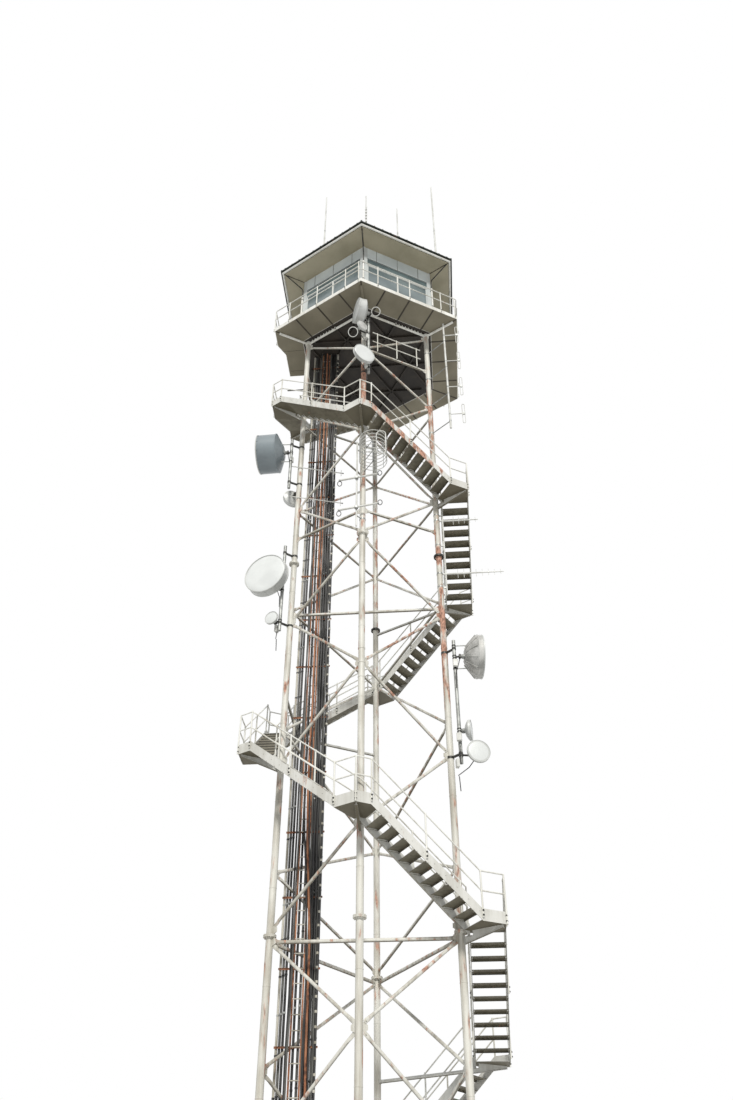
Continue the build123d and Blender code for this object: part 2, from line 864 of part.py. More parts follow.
# Cabin walls
def wall_piece(side, start, end, low, high, outer, thickness):
    """Straight upright piece in the wall of one side, added to the part being built."""
    with BuildSketch(side_plane(side, deck_top + low)) as plan:
        with Locations(((start + end) / 2, outer - thickness / 2)):
            Rectangle(end - start, thickness)
    extrude(plan.sketch, amount=high - low)


def post_plan(vertex):
    """Plan of an angled corner post with a leg along each of two walls."""
    here = side_plane(vertex)
    there = side_plane(vertex - 1)
    inside = cabin_apothem - wall_thickness
    return [
        apothem_corner(vertex, cabin_apothem),
        here.from_local_coords(Vector(half_wall, cabin_apothem, 0)),
        here.from_local_coords(Vector(half_wall, inside, 0)),
        apothem_corner(vertex, inside),
        there.from_local_coords(Vector(-half_wall, inside, 0)),
        there.from_local_coords(Vector(-half_wall, cabin_apothem, 0)),
    ]


half_wall = cabin_apothem * tan(half_hex) - corner_post
half_door = door_width / 2 + frame_bar
wall_height = wall_top - deck_top
glass_line = cabin_apothem - (wall_thickness - frame_thickness) / 2
sides = range(6)

with BuildPart() as cabin_corner_posts:
    for vertex in sides:
        plate(post_plan(vertex), deck_top, wall_top)
export(cabin_corner_posts, "cabin_corner_posts")

with BuildPart() as cabin_sill_walls:
    for side in sides:
        if side == door_side:
            wall_piece(side, -half_wall, -half_door, 0, sill_height, cabin_apothem, wall_thickness)
            wall_piece(side, half_door, half_wall, 0, sill_height, cabin_apothem, wall_thickness)
        else:
            wall_piece(side, -half_wall, half_wall, 0, sill_height, cabin_apothem, wall_thickness)
export(cabin_sill_walls, "cabin_sill_walls")

with BuildPart() as cabin_upper_panels:
    for side in sides:
        wall_piece(side, -half_wall, half_wall, band_top, wall_height, cabin_apothem, wall_thickness)
export(cabin_upper_panels, "cabin_upper_panels")

with BuildPart() as cabin_header_bands:
    for side in sides:
        band_outer = cabin_apothem - band_recess
        band_thickness = wall_thickness - band_recess
        wall_piece(side, -half_wall, half_wall, glazing_top, band_top, band_outer, band_thickness)
export(cabin_header_bands, "cabin_header_bands")


# Windows: a frame round each opening with one mullion, and two panes
def window_lights(side):
    """Start and end of each pane's opening along a side."""
    if side == door_side:
        return [(-half_wall + frame_bar, -half_door), (half_door, half_wall - frame_bar)]
    return [(-half_wall + frame_bar, -frame_bar / 2), (frame_bar / 2, half_wall - frame_bar)]


with BuildPart() as window_frames:
    for side in sides:
        wall_piece(side, -half_wall, half_wall, sill_height, glazing_top, glass_line, frame_thickness)
        with BuildPart(mode=Mode.PRIVATE) as lights:
            for start, end in window_lights(side):
                low = sill_height + frame_bar
                wall_piece(side, start, end, low, glazing_top - frame_bar, cabin_apothem, wall_thickness)
            if side == door_side:
                wall_piece(side, -half_door, half_door, 0, glazing_top, cabin_apothem, wall_thickness)
        add(lights.part, mode=Mode.SUBTRACT)
export(window_frames, "window_frames")

with BuildPart() as window_panes:
    for side in sides:
        for start, end in window_lights(side):
            low = sill_height + frame_bar
            pane_line = glass_line - (frame_thickness - glass_thickness) / 2
            wall_piece(side, start, end, low, glazing_top - frame_bar, pane_line, glass_thickness)
export(window_panes, "window_panes")

with BuildPart() as cabin_door:
    wall_piece(door_side, -half_door, half_door, 0, glazing_top, glass_line, door_thickness)
export(cabin_door, "cabin_door")


# Roof
with BuildPart() as roof_soffit:
    hexagon_slab(soffit_apothem, wall_top, eaves_z)
export(roof_soffit, "roof_soffit")

with BuildPart() as roof_gutter:
    outer = soffit_apothem + gutter_width
    hexagon_slab(outer, wall_top, verge_low, soffit_apothem)
    with BuildPart(mode=Mode.PRIVATE) as trough:
        hexagon_slab(outer - gutter_wall, wall_top + gutter_wall, verge_low, soffit_apothem + gutter_wall)
    add(trough.part, mode=Mode.SUBTRACT)
export(roof_gutter, "roof_gutter")

roof_rise = (verge_apothem - roof_cap_apothem) * tan(radians(roof_pitch))
with BuildPart() as roof_shell:
    hexagon_slab(verge_apothem, verge_low, verge_top + roof_rise)
    for side in sides:
        eaves_edge = side_plane(side, verge_top).from_local_coords(Vector(0, verge_apothem, 0))
        normal = outward(side) * sin(radians(roof_pitch)) + up * cos(radians(roof_pitch))
        split(bisect_by=Plane(origin=eaves_edge, z_dir=normal), keep=Keep.BOTTOM)
    hexagon_slab(soffit_apothem, eaves_z, verge_low)
export(roof_shell, "roof_shell")

with BuildPart() as downpipes:
    for vertex in (0, 1, 5):
        top = apothem_corner(vertex, soffit_apothem - downpipe_diameter, wall_top)
        knee = apothem_corner(vertex, cabin_apothem + downpipe_diameter / 2 + seat_gap, wall_top - frame_depth * 3)
        foot = Vector(knee.X, knee.Y, deck_top)
        radial = corner(vertex, 1) - corner(vertex, 0)
        bar(foot, knee, downpipe_diameter, brace_facets, sideways=radial)
        bar(knee, Vector(top.X, top.Y, wall_top - downpipe_diameter / 2), downpipe_diameter, brace_facets)
export(downpipes, "downpipes")


# Cable ladder and the cables on it
ladder_x, ladder_y = ladder_middle
with BuildPart() as cable_ladder:
    for offset_x in (-ladder_width / 2, ladder_width / 2):
        foot = Vector(ladder_x + offset_x, ladder_y, 0)
        bar(foot, foot + up * deck_bottom, ladder_rail, sideways=Vector(1, 0, 0))
    for index in range(1, int(deck_bottom // cross_bar_spacing) + 1):
        level = index * cross_bar_spacing
        start = Vector(ladder_x - cross_bar_length / 2, ladder_y + ladder_rail + seat_gap, level)
        bar(start, start + Vector(cross_bar_length, 0, 0), ladder_rail)
export(cable_ladder, "cable_ladder")

with BuildPart() as feeder_cables:
    behind = ladder_y + ladder_rail * 1.5 + cable_diameter / 2 + 2 * seat_gap
    for offset_x in cable_offsets:
        foot = Vector(ladder_x + offset_x, behind, 0)
        bar(foot, foot + up * deck_bottom, cable_diameter, brace_facets, sideways=Vector(0, 1, 0))
export(feeder_cables, "feeder_cables")


# Dishes: each stands on a pole beside a leg
class DishMount:
    """Pole position, or none on the leg itself, radome centre, facing angle from -Y towards +X, and sizes of one dish."""

    def __init__(self, pole, centre, angle, diameter, shroud, back):
        self.pole = pole
        self.centre = Vector(*centre)
        self.facing = Vector(sin(radians(angle)), -cos(radians(angle)), 0)
        self.diameter = diameter
        self.shroud = shroud
        self.back = back
        self.rear = self.centre - self.facing * (shroud + back)


left_upper_pole = (-2300, 1000)
left_lower_pole = (-2260, 960)
right_pole = (2260, 950)
near_pole = (170, -190)
dish_groups = {
    "dishes_left": [
        DishMount(left_upper_pole, (-3310, 1010, 22220), -92, 1220, 500, 290),
        DishMount(left_lower_pole, (-2720, 620, 17330), -28, 1220, 250, 90),
        DishMount(left_lower_pole, (-2470, 760, 15950), -20, 380, 60, 80),
        DishMount(None, (-2330, 1700, 20900), -150, 560, 120, 60),
    ],
    "dishes_right": [
        DishMount(right_pole, (2960, 990, 14600), 97, 1120, 150, 300),
        DishMount(right_pole, (2560, 960, 12560), 82, 500, 70, 90),
        DishMount(right_pole, (2680, 760, 11920), 16, 560, 60, 90),
    ],
    "dishes_near": [
        DishMount(near_pole, (-220, -520, 27030), -78, 840, 240, 110),
        DishMount(near_pole, (20, -560, 26230), 45, 370, 70, 70),
        DishMount(near_pole, (110, -560, 24840), 45, 720, 120, 90),
    ],
}


def dish(mount):
    """Closed drum with a flat radome and a coned back, all of flat faces."""
    rim = Plane(origin=mount.centre, x_dir=up, z_dir=mount.facing)
    rings = []
    for radius, depth in (
        (mount.diameter / 2, 0),
        (mount.diameter / 2, mount.shroud),
        (mount.diameter / 6, mount.shroud + mount.back),
    ):
        turns = [2 * pi * index / dish_facets for index in range(dish_facets)]
        rings.append([rim.from_local_coords(Vector(radius * cos(t), radius * sin(t), -depth)) for t in turns])
    faces = [Face(Wire.make_polygon(ring)) for ring in (rings[0], rings[-1])]
    for front, behind in zip(rings, rings[1:]):
        for index in range(dish_facets):
            following = (index + 1) % dish_facets
            faces.append(Face(Wire.make_polygon([front[index], front[following], behind[following], behind[index]])))
    return Solid(Shell(faces))


for name, mounts in dish_groups.items():
    with BuildPart() as dishes:
        add([dish(mount) for mount in mounts])
    export(dishes, name)

pole_spans = {
    left_upper_pole: (5, 20750, 22800),
    left_lower_pole: (5, 15650, 18500),
    right_pole: (1, 11700, 15100),
    near_pole: (0, 24300, 27350),
}
clamp_inset = 250
with BuildPart() as dish_brackets:
    for (x, y), (vertex, low, high) in pole_spans.items():
        bar(Vector(x, y, low), Vector(x, y, high), pole_diameter, brace_facets, sideways=Vector(0, 1, 0))
        for level in (low + clamp_inset, high - clamp_inset):
            end = Vector(x, y, level)
            bar(from_leg(vertex, end), end, aerial_diameter)
    for mounts in dish_groups.values():
        for mount in mounts:
            elbow = mount.rear - mount.facing * hub_diameter
            bar(mount.rear, elbow, hub_diameter, brace_facets)
            if mount.pole is None:
                start = from_leg(5, elbow)
            else:
                start = Vector(*mount.pole, elbow.Z)
            bar(start, elbow, aerial_diameter)
export(dish_brackets, "dish_brackets")


# Whip and mast aerials on the roof
def roof_height(x, y):
    """Height of the roof's surface over a point of the plan."""
    furthest = max(outward(side).X * x + outward(side).Y * (y - centre_y) for side in sides)
    return verge_top + (verge_apothem - furthest) * tan(radians(roof_pitch))


roof_whips = (
    (-1570, 600, 35960, 45),
    (20, 300, 35300, 60),
    (1190, 500, 34600, 40),
    (2590, 1500, 37700, 60),
)
with BuildPart() as roof_aerials:
    for x, y, top, diameter in roof_whips:
        low = roof_height(x, y) + seat_gap
        bar(Vector(x, y, low), Vector(x, y, top), diameter, brace_facets, sideways=Vector(0, 1, 0))
export(roof_aerials, "roof_aerials")


# Stacked folded dipoles on a pole beside the leg at vertex 1
def loop(middle, height, width, thickness, across):
    """Upright folded dipole, a flat oblong ring, added to the part being built."""
    with BuildSketch(Plane(origin=middle, x_dir=across, z_dir=across.cross(up))) as ring:
        Rectangle(width, height)
        Rectangle(width - 2 * thickness, height - 2 * thickness, mode=Mode.SUBTRACT)
    extrude(ring.sketch, amount=thickness / 2, both=True)


array_pole = (2610, 650)
array_low = 22540
array_high = 27560
array_levels = (22850, 24100, 25350, 26650)
loop_reach = 420
loop_height = 850
loop_width = 90
with BuildPart() as dipole_array:
    x, y = array_pole
    bar(Vector(x, y, array_low), Vector(x, y, array_high), aerial_diameter, brace_facets, sideways=Vector(0, 1, 0))
    for level in array_levels:
        bar(from_leg(1, Vector(x, y, level)), Vector(x, y, level), rail_diameter)
        bar(Vector(x, y, level + 300), Vector(x + loop_reach, y, level + 300), rail_diameter)
        loop(Vector(x + loop_reach, y, level + 300), loop_height, loop_width, 25, Vector(1, 0, 0))
export(dipole_array, "dipole_array")


# Booms and cage aerial at the leg of vertex 0, and booms at vertex 5
boom_pole = (-150, -200)
boom_levels = (18750, 19850)
boom_length = 1120
cage_middle = (330, -480, 20650)
cage_radius = 400
cage_height = 850
with BuildPart() as aerial_booms:
    x, y = boom_pole
    bar(Vector(x, y, 18000 + joint_clearance), Vector(x, y, 21300), aerial_diameter, brace_facets, sideways=Vector(0, 1, 0))
    for level in (18500, 21000):
        bar(from_leg(0, Vector(x, y, level)), Vector(x, y, level), rail_diameter)
    for level in boom_levels:
        middle = Vector(x, y - aerial_diameter, level)
        bar(middle + Vector(-boom_length * 0.45, 0, -80), middle + Vector(boom_length * 0.55, 0, 110), aerial_diameter)
export(aerial_booms, "aerial_booms")

with BuildPart() as cage_aerial:
    x, y, z = cage_middle
    for level in (z - cage_height / 2, z, z + cage_height / 2):
        with BuildSketch(Plane((x, y, level))) as hoop:
            RegularPolygon(cage_radius, 8)
            RegularPolygon(cage_radius - 20, 8, mode=Mode.SUBTRACT)
        extrude(hoop.sketch, amount=20)
        middle = Vector(x, y, level + 10)
        bar(from_leg(0, middle), middle, 20)
    for turn in range(0, 360, 90):
        foot = Vector(x + (cage_radius - 20) * cos(radians(turn)), y + (cage_radius - 20) * sin(radians(turn)), z - cage_height / 2)
        bar(foot, foot + up * cage_height, 20, sideways=Vector(1, 0, 0))
    bar(Vector(x, y, z - cage_height / 2), Vector(x, y, z + cage_height / 2), 40, sideways=Vector(1, 0, 0))
export(cage_aerial, "cage_aerial")

with BuildPart() as side_booms:
    for level in (20430, 21650):
        start = Vector(*left_upper_pole, level) + Vector(pole_diameter / 2 + seat_gap, 0, 0)
        bar(start, Vector(-720, 1440, level), rail_diameter)
export(side_booms, "side_booms")


# Yagi aerials at vertex 1
def yagi(start, end, elements, longest):
    """Boom with upright rods that shorten towards its tip."""
    with BuildPart() as array:
        bar(start, end, rail_diameter)
        for index in range(elements):
            point = start + (end - start) * ((index + 2.5) / (elements + 2))
            half = Vector(0, 0, longest * (1 - 0.5 * index / elements) / 2)
            bar(point - half, point + half, 14, sideways=Vector(1, 0, 0))
    return array.part


with BuildPart() as yagi_aerials:
    for tip_x, level, elements in ((3750, 17400, 8), (3190, 19300, 5)):
        tip = Vector(tip_x, corner(1, leg_ring).Y, level)
        add(yagi(from_leg(1, tip), tip, elements, 300))
export(yagi_aerials, "yagi_aerials")
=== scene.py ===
"""Looks of the fire lookout tower: detailed pieces, materials, light and camera."""
from math import atan2, cos, pi, radians, sin, sqrt, tan
from random import Random

import bpy
from mathutils import Matrix, Vector


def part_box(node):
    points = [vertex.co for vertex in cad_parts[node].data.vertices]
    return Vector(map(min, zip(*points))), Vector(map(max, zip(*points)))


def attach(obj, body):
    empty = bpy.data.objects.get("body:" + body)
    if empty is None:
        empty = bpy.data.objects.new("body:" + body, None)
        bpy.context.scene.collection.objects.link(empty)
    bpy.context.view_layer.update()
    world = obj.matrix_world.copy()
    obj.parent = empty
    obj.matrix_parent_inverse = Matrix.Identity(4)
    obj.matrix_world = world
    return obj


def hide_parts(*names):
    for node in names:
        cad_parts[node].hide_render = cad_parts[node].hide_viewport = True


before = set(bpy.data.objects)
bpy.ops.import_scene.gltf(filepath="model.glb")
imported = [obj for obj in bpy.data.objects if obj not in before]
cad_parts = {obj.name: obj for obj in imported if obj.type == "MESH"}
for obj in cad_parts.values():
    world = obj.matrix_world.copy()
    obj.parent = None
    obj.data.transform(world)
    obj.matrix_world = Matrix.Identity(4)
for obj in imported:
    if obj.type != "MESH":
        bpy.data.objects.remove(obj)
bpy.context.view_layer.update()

# Plan and heights, metres
centre_y = 2.33
leg_ring = 2.33
half_hex = radians(30)
stair_inner = 2.2
stair_outer = 2.95
cabin_apothem = 2.29
gallery_apothem = 3.09
floor_apothem = 2.19
soffit_apothem = 2.97
gutter_apothem = 3.012
verge_apothem = 3.09
deck_bottom = 27.65
deck_top = 27.8
sill_top = 28.64
glazing_top = 30.35
wall_top = 30.98
verge_top = 31.12
roof_pitch = radians(14)
roof_cap = 0.28
door_side = 2

# Directions
up = Vector((0, 0, 1))
side_way = Vector((1, 0, 0))
ahead = Vector((0, 1, 0))
origin = Vector((0, 0, 0))

# Legs and bracing
leg_radius = 0.08
leg_vertices = (0, 1, 3, 5)
joint_heights = (8.0, 18.0)
flange_radius = 0.14
flange_thickness = 0.028
bolt_circle = 0.113
joint_clearance = 0.11
base_width = 0.35
base_thickness = 0.025
brace_radius = 0.035
beam_radius = 0.04
gusset_half_thickness = 0.007
gusset_reach = 0.185
gusset_half_height = 0.09
tab_start = 0.105
tube_start = 0.19
fence_inset = 0.292
near_top_node = 25.75
near_head = 27.4
low_beams = 7.88
middle_beams = 16.25
near_beams = 18.86
rear_leg_nodes = (0.9, 5.5, 9.35, 12.85, 16.4, 19.9, 23.6)
rear_far_nodes = (3.2, 8.0, 11.05, 16.0, 20.0, 24.0)

# Stair
flight_rise = 2.0
riser = 0.2
going = 0.25
slope = riser / going
flight_foot = -1.125
last_flight = 13
last_head = 0.875
edge_rise = 0.045
outer_ends = (-1.15, 1.35)
inner_ends = (-1.125, 1.125)
outer_rail_apothem = 2.9693
inner_rail_apothem = 2.1807
rail_levels = (0.76, 0.35)
rail_radius = 0.016
post_radius = 0.019
fence_apothem = 3.1093
fence_levels = (0.9, 0.46)

# Smoothness of round pieces
leg_sides = 32
tube_sides = 16
rail_sides = 10
dish_sides = 48


# Points and directions of the hexagonal plan
def corner(vertex, radius, z=0.0):
    """Point at a distance from the tower's axis towards a vertex of the hexagon."""
    angle = radians(60 * vertex - 90)
    return Vector((radius * cos(angle), centre_y + radius * sin(angle), z))


def on_leg(vertex, z=0.0):
    """Point on the axis of a leg."""
    return corner(vertex, leg_ring, z)


def apothem_corner(vertex, apothem, z=0.0):
    """Corner of a hexagon given by the distance to its sides."""
    return corner(vertex, apothem / cos(half_hex), z)


def radial_way(vertex):
    """Level direction from the axis out through a vertex."""
    return (corner(vertex, 1) - corner(vertex, 0)).normalized()


def outward(side):
    """Level direction out through a side."""
    angle = radians(60 * (side + 0.5) - 90)
    return Vector((cos(angle), sin(angle), 0))


def along_side(side):
    """Level direction along a side, the way the stair climbs."""
    out = outward(side)
    return Vector((out.y, -out.x, 0))


def on_side(side, along, apothem, z):
    """Point given by its distances along and out from a side."""
    return Vector((0, centre_y, z)) + along_side(side) * along + outward(side) * apothem


def flight_side(flight):
    """Side of the hexagon that a flight runs along."""
    return (4 - flight) % 6


def across_of(axis):
    """Direction square to an axis, and level unless the axis is upright."""
    return (up.cross(axis) if abs(axis.z) < 0.99 else axis.orthogonal()).normalized()


def circle(centre, first, second, radius, sides, shift=0):
    """Points round a circle in the plane of two directions."""
    turns = [2 * pi * (step + shift) / sides for step in range(sides)]
    return [centre + (first * cos(turn) + second * sin(turn)) * radius for turn in turns]


# Shapes gathered into one mesh
class Shape:
    """Faces for one piece, each with the number of its material."""

    def __init__(self):
        self.points = []
        self.faces = []
        self.finishes = []

    def rings(self, rings, finish=0, closed=False):
        """Skin over rings of points with equal counts, with end faces unless it closes on itself."""
        count = len(rings[0])
        faces = []
        spans = len(rings) if closed else len(rings) - 1
        for index in range(spans):
            here = index * count
            there = (index + 1) % len(rings) * count
            for step in range(count):
                after = (step + 1) % count
                faces.append([here + step, here + after, there + after, there + step])
        if not closed:
            faces.append(list(range(count))[::-1])
            faces.append([(len(rings) - 1) * count + step for step in range(count)])
        first = len(self.points)
        self.points += [point for ring in rings for point in ring]
        self.faces += [[first + index for index in face] for face in faces]
        self.finishes += [finish] * len(faces)

    def turned(self, start, axis, profile, sides, finish=0):
        """Body of revolution; the profile lists distances along the axis with radii."""
        axis = axis.normalized()
        first = across_of(axis)
        second = axis.cross(first)
        rings = [circle(start + axis * far, first, second, radius, sides) for far, radius in profile]
        self.rings(rings, finish)

    def tube(self, start, end, radius, sides=tube_sides, finish=0):
        """Straight round tube."""
        run = end - start
        self.turned(start, run, ((0, radius), (run.length, radius)), sides, finish)

    def band(self, start, radius, height, sides=tube_sides, finish=0):
        """Short upright collar."""
        self.turned(start, up, ((0, radius), (height, radius)), sides, finish)

    def block(self, middle, first, second, sizes, finish=0):
        """Bevelled block along two directions and the one across both."""
        first = first.normalized()
        third = first.cross(second).normalized()
        second = third.cross(first)
        half = [size / 2 for size in sizes]
        edge = min(sizes) * 0.12
        rings = []
        for level, inset in ((-half[2], edge), (-half[2] + edge, 0), (half[2] - edge, 0), (half[2], edge)):
            wide = first * (half[0] - inset)
            deep = second * (half[1] - inset)
            signs = ((-1, -1), (1, -1), (1, 1), (-1, 1))
            rings.append([middle + wide * a + deep * b + third * level for a, b in signs])
        self.rings(rings, finish)

    def strip(self, start, end, across, width, thickness, finish=0):
        """Bevelled block from one point to another."""
        run = end - start
        self.block((start + end) / 2, run, across, (run.length, width, thickness), finish)

    def slab(self, outline, direction, finish=0):
        """Flat plate from an outline, as thick as a direction is long."""
        half = direction / 2
        self.rings([[point - half for point in outline], [point + half for point in outline]], finish)

    def bolt(self, point, axis, size, finish=0):
        """Hexagonal head on a washer."""
        washer = size * 0.15
        head = point + axis.normalized() * washer
        self.turned(point, axis, ((0, size * 0.75), (washer, size * 0.75)), 10, finish)
        self.turned(head, axis, ((0, size * 0.5), (size * 0.42, size * 0.5)), 6, finish)

    def bent(self, points, radius, sides=rail_sides, finish=0, closed=False):
        """Round tube through a line of points."""
        rings = []
        last = len(points) - 1
        for index, point in enumerate(points):
            before = points[index - 1] if index or closed else point
            after = points[(index + 1) % len(points)] if index < last or closed else point
            axis = (after - before).normalized()
            first = across_of(axis)
            if rings and first.dot(rings[-1][0] - points[index - 1]) < 0:
                first = -first
            rings.append(circle(point, first, axis.cross(first), radius, sides))
        self.rings(rings, finish, closed)


def make(shape, name, materials, slot, *nodes):
    """Turn gathered faces into a piece that rides with the tower and stands for CAD nodes."""
    mesh = bpy.data.meshes.new(name)
    mesh.from_pydata(shape.points, [], shape.faces)
    for material in materials:
        mesh.materials.append(material)
    mesh.polygons.foreach_set("material_index", shape.finishes)
    mesh.polygons.foreach_set("use_smooth", [True] * len(mesh.polygons))
    mesh.set_sharp_from_angle(angle=radians(38))
    mesh.update()
    piece = bpy.data.objects.new(name, mesh)
    bpy.context.scene.collection.objects.link(piece)
    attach(piece, "root")
    if nodes:
        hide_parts(*nodes)


# Materials
def colour(red, green, blue):
    """Colour from screen values of 0 to 255."""
    linear = []
    for value in (red, green, blue):
        share = value / 255
        linear.append(share / 12.92 if share <= 0.04045 else ((share + 0.055) / 1.055) ** 2.4)
    return (*linear, 1.0)


class Paint:
    """Node material with the sockets that the finishes below share."""

    def __init__(self, name, roughness=0.5, metallic=0.0):
        self.material = bpy.data.materials.new(name)
        self.material.use_nodes = True
        self.tree = self.material.node_tree
        self.shader = self.tree.nodes["Principled BSDF"]
        self.shader.inputs["Roughness"].default_value = roughness
        self.shader.inputs["Metallic"].default_value = metallic
        self.place = self.node("ShaderNodeTexCoord").outputs["Object"]

    def node(self, kind, **settings):
        made = self.tree.nodes.new(kind)
        for key, value in settings.items():
            setattr(made, key, value)
        return made

    def feed(self, socket, value):
        """Set a socket to a number or a colour, or link another socket to it."""
        if isinstance(value, tuple) and len(value) == 3:
            value = colour(*value)
        if isinstance(value, (int, float, tuple)):
            socket.default_value = value
        else:
            self.tree.links.new(value, socket)

    def maths(self, operation, first, second):
        made = self.node("ShaderNodeMath", operation=operation)
        self.feed(made.inputs[0], first)
        self.feed(made.inputs[1], second)
        return made.outputs[0]

    def times(self, first, second):
        return self.maths("MULTIPLY", first, second)

    def plus(self, first, second):
        return self.maths("ADD", first, second)

    def noise(self, scale, stretch=(1, 1, 1), detail=4.0):
        scaled = self.node("ShaderNodeMapping")
        scaled.inputs["Scale"].default_value = [scale * share for share in stretch]
        self.feed(scaled.inputs["Vector"], self.place)
        made = self.node("ShaderNodeTexNoise")
        made.inputs["Scale"].default_value = 1.0
        made.inputs["Detail"].default_value = detail
        self.feed(made.inputs["Vector"], scaled.outputs[0])
        return made.outputs["Fac"]

    def between(self, value, low, high):
        """Smooth step from 0 at low to 1 at high."""
        made = self.node("ShaderNodeMapRange", interpolation_type="SMOOTHSTEP")
        self.feed(made.inputs["Value"], value)
        made.inputs["From Min"].default_value = low
        made.inputs["From Max"].default_value = high
        return made.outputs["Result"]

    def mix(self, share, first, second):
        made = self.node("ShaderNodeMix", data_type="RGBA")
        self.feed(made.inputs[0], share)
        self.feed(made.inputs[6], first)
        self.feed(made.inputs[7], second)
        return made.outputs[2]

    def near(self, centre, radius):
        """1 at a place on the tower, fading to 0 at a radius from it."""
        made = self.node("ShaderNodeVectorMath", operation="DISTANCE")
        self.feed(made.inputs[0], self.place)
        made.inputs[1].default_value = centre
        away = self.between(made.outputs["Value"], 0.35 * radius, radius)
        return self.maths("SUBTRACT", 1.0, away)

    def finish(self, base, rough=None, height=None, depth=0.002):
        """Link the colour, and the roughness and relief where they are given."""
        self.feed(self.shader.inputs["Base Color"], base)
        if rough is not None:
            self.feed(self.shader.inputs["Roughness"], rough)
        if height is not None:
            bump = self.node("ShaderNodeBump")
            bump.inputs["Strength"].default_value = 0.5
            bump.inputs["Distance"].default_value = depth
            self.feed(bump.inputs["Height"], height)
            self.feed(self.shader.inputs["Normal"], bump.outputs[0])
        return self.material


orange_rust = ((192, 140, 116), (124, 80, 60))
brown_rust = ((152, 100, 72), (82, 54, 42))


def weathered(
    name, clean, grimy, rust=0.0, spots=(), roughness=0.5, depth=0.0015,
    rusty=orange_rust, underside_shade=None, drip=0.2,
):
    """Paint on steel with grime in streaks, and rust that gathers round given places.

    Faces that look down can take a darker colour of their own as painted shade; a small drip draws the rust
    out into streaks.
    """
    paint = Paint(name)
    patches = paint.noise(1.1, (1, 1, 0.7))
    streaks = paint.noise(11.0, (1, 1, 0.09))
    grime = paint.plus(paint.times(patches, 0.6), paint.times(streaks, 0.4))
    base = paint.mix(paint.between(grime, 0.42, 0.64), clean, grimy)
    grain = paint.noise(90.0, detail=5.0)
    base = paint.mix(paint.times(paint.between(grain, 0.45, 0.8), 0.35), base, grimy)
    amount = rust
    for centre, radius, strength in spots:
        amount = paint.maths("MAXIMUM", paint.times(paint.near(centre, radius), strength), amount)
    flakes = paint.noise(8.0, (1, 1, drip), 12.0)
    mask = paint.between(paint.plus(flakes, paint.times(amount, 0.36)), 0.68, 0.84)
    blotches = paint.between(paint.noise(26.0, (1, 1, 0.4), 8.0), 0.4, 0.62)
    base = paint.mix(paint.times(mask, 0.9), base, paint.mix(blotches, *rusty))
    # Painted shade: faces that look down are mixed towards a darker colour, whatever light falls on them.
    if underside_shade:
        geometry = paint.node("ShaderNodeNewGeometry")
        facing = paint.node("ShaderNodeSeparateXYZ")
        paint.feed(facing.inputs[0], geometry.outputs["True Normal"])
        base = paint.mix(paint.between(facing.outputs["Z"], -0.55, -0.9), base, underside_shade)
    rough = paint.plus(roughness, paint.times(mask, 0.3))
    return paint.finish(base, rough, paint.plus(grain, mask), depth)


def plain_coat(name, light, dark, scale=6.0, roughness=0.5, metallic=0.0, stretch=(1, 1, 1)):
    """Coat whose colour drifts between two tones, with a fine grain."""
    paint = Paint(name, roughness, metallic)
    drift = paint.between(paint.noise(scale, stretch), 0.35, 0.66)
    grain = paint.noise(scale * 22, detail=3.0)
    base = paint.mix(drift, light, dark)
    base = paint.mix(paint.times(paint.between(grain, 0.5, 0.75), 0.25), base, dark)
    rough = paint.plus(roughness - 0.06, paint.times(grain, 0.12))
    return paint.finish(base, rough, grain, 0.001)


# Rusty places: centre, radius and strength
right_leg = on_leg(1)
left_leg = on_leg(5)
leg_spots = (
    ((*right_leg.xy, 15.0), 2.9, 0.85),
    ((*right_leg.xy, 18.6), 1.6, 0.75),
    ((*right_leg.xy, 23.6), 2.6, 0.7),
    ((*right_leg.xy, 8.6), 1.5, 0.5),
    ((0, 0, 23.9), 1.6, 0.95),
    ((0, 0, 19.6), 2.4, 0.5),
    ((*left_leg.xy, 20.0), 2.6, 0.5),
    ((0, 4.66, 21.0), 4.0, 0.6),
    ((0, 4.66, 15.0), 2.0, 0.45),
)
brace_spots = (
    ((1.2, 0.6, 25.1), 0.9, 0.6),
    ((1.0, 0.55, 15.2), 1.5, 0.8),
    ((1.0, 0.55, 17.2), 1.3, 0.7),
    ((0.5, 0.3, 12.9), 1.0, 0.7),
    ((-1.2, 0.6, 15.4), 0.9, 0.6),
    ((-1.0, 3.0, 21.0), 2.3, 0.8),
    ((1.2, 3.0, 21.0), 2.0, 0.8),
    ((1.3, 2.6, 12.0), 1.6, 0.75),
    ((-0.8, 3.4, 12.0), 1.5, 0.6),
    ((1.4, 0.9, 7.6), 1.2, 0.5),
)
stair_spots = (
    ((1.0, -0.55, 21.4), 1.5, 0.82),
    ((1.9, 0.0, 20.6), 0.8, 0.72),
    ((0.35, -0.95, 22.1), 0.5, 0.85),
    ((3.3, 1.1, 20.1), 0.6, 0.7),
    ((-1.2, 0.0, 10.9), 0.8, 0.45),
)
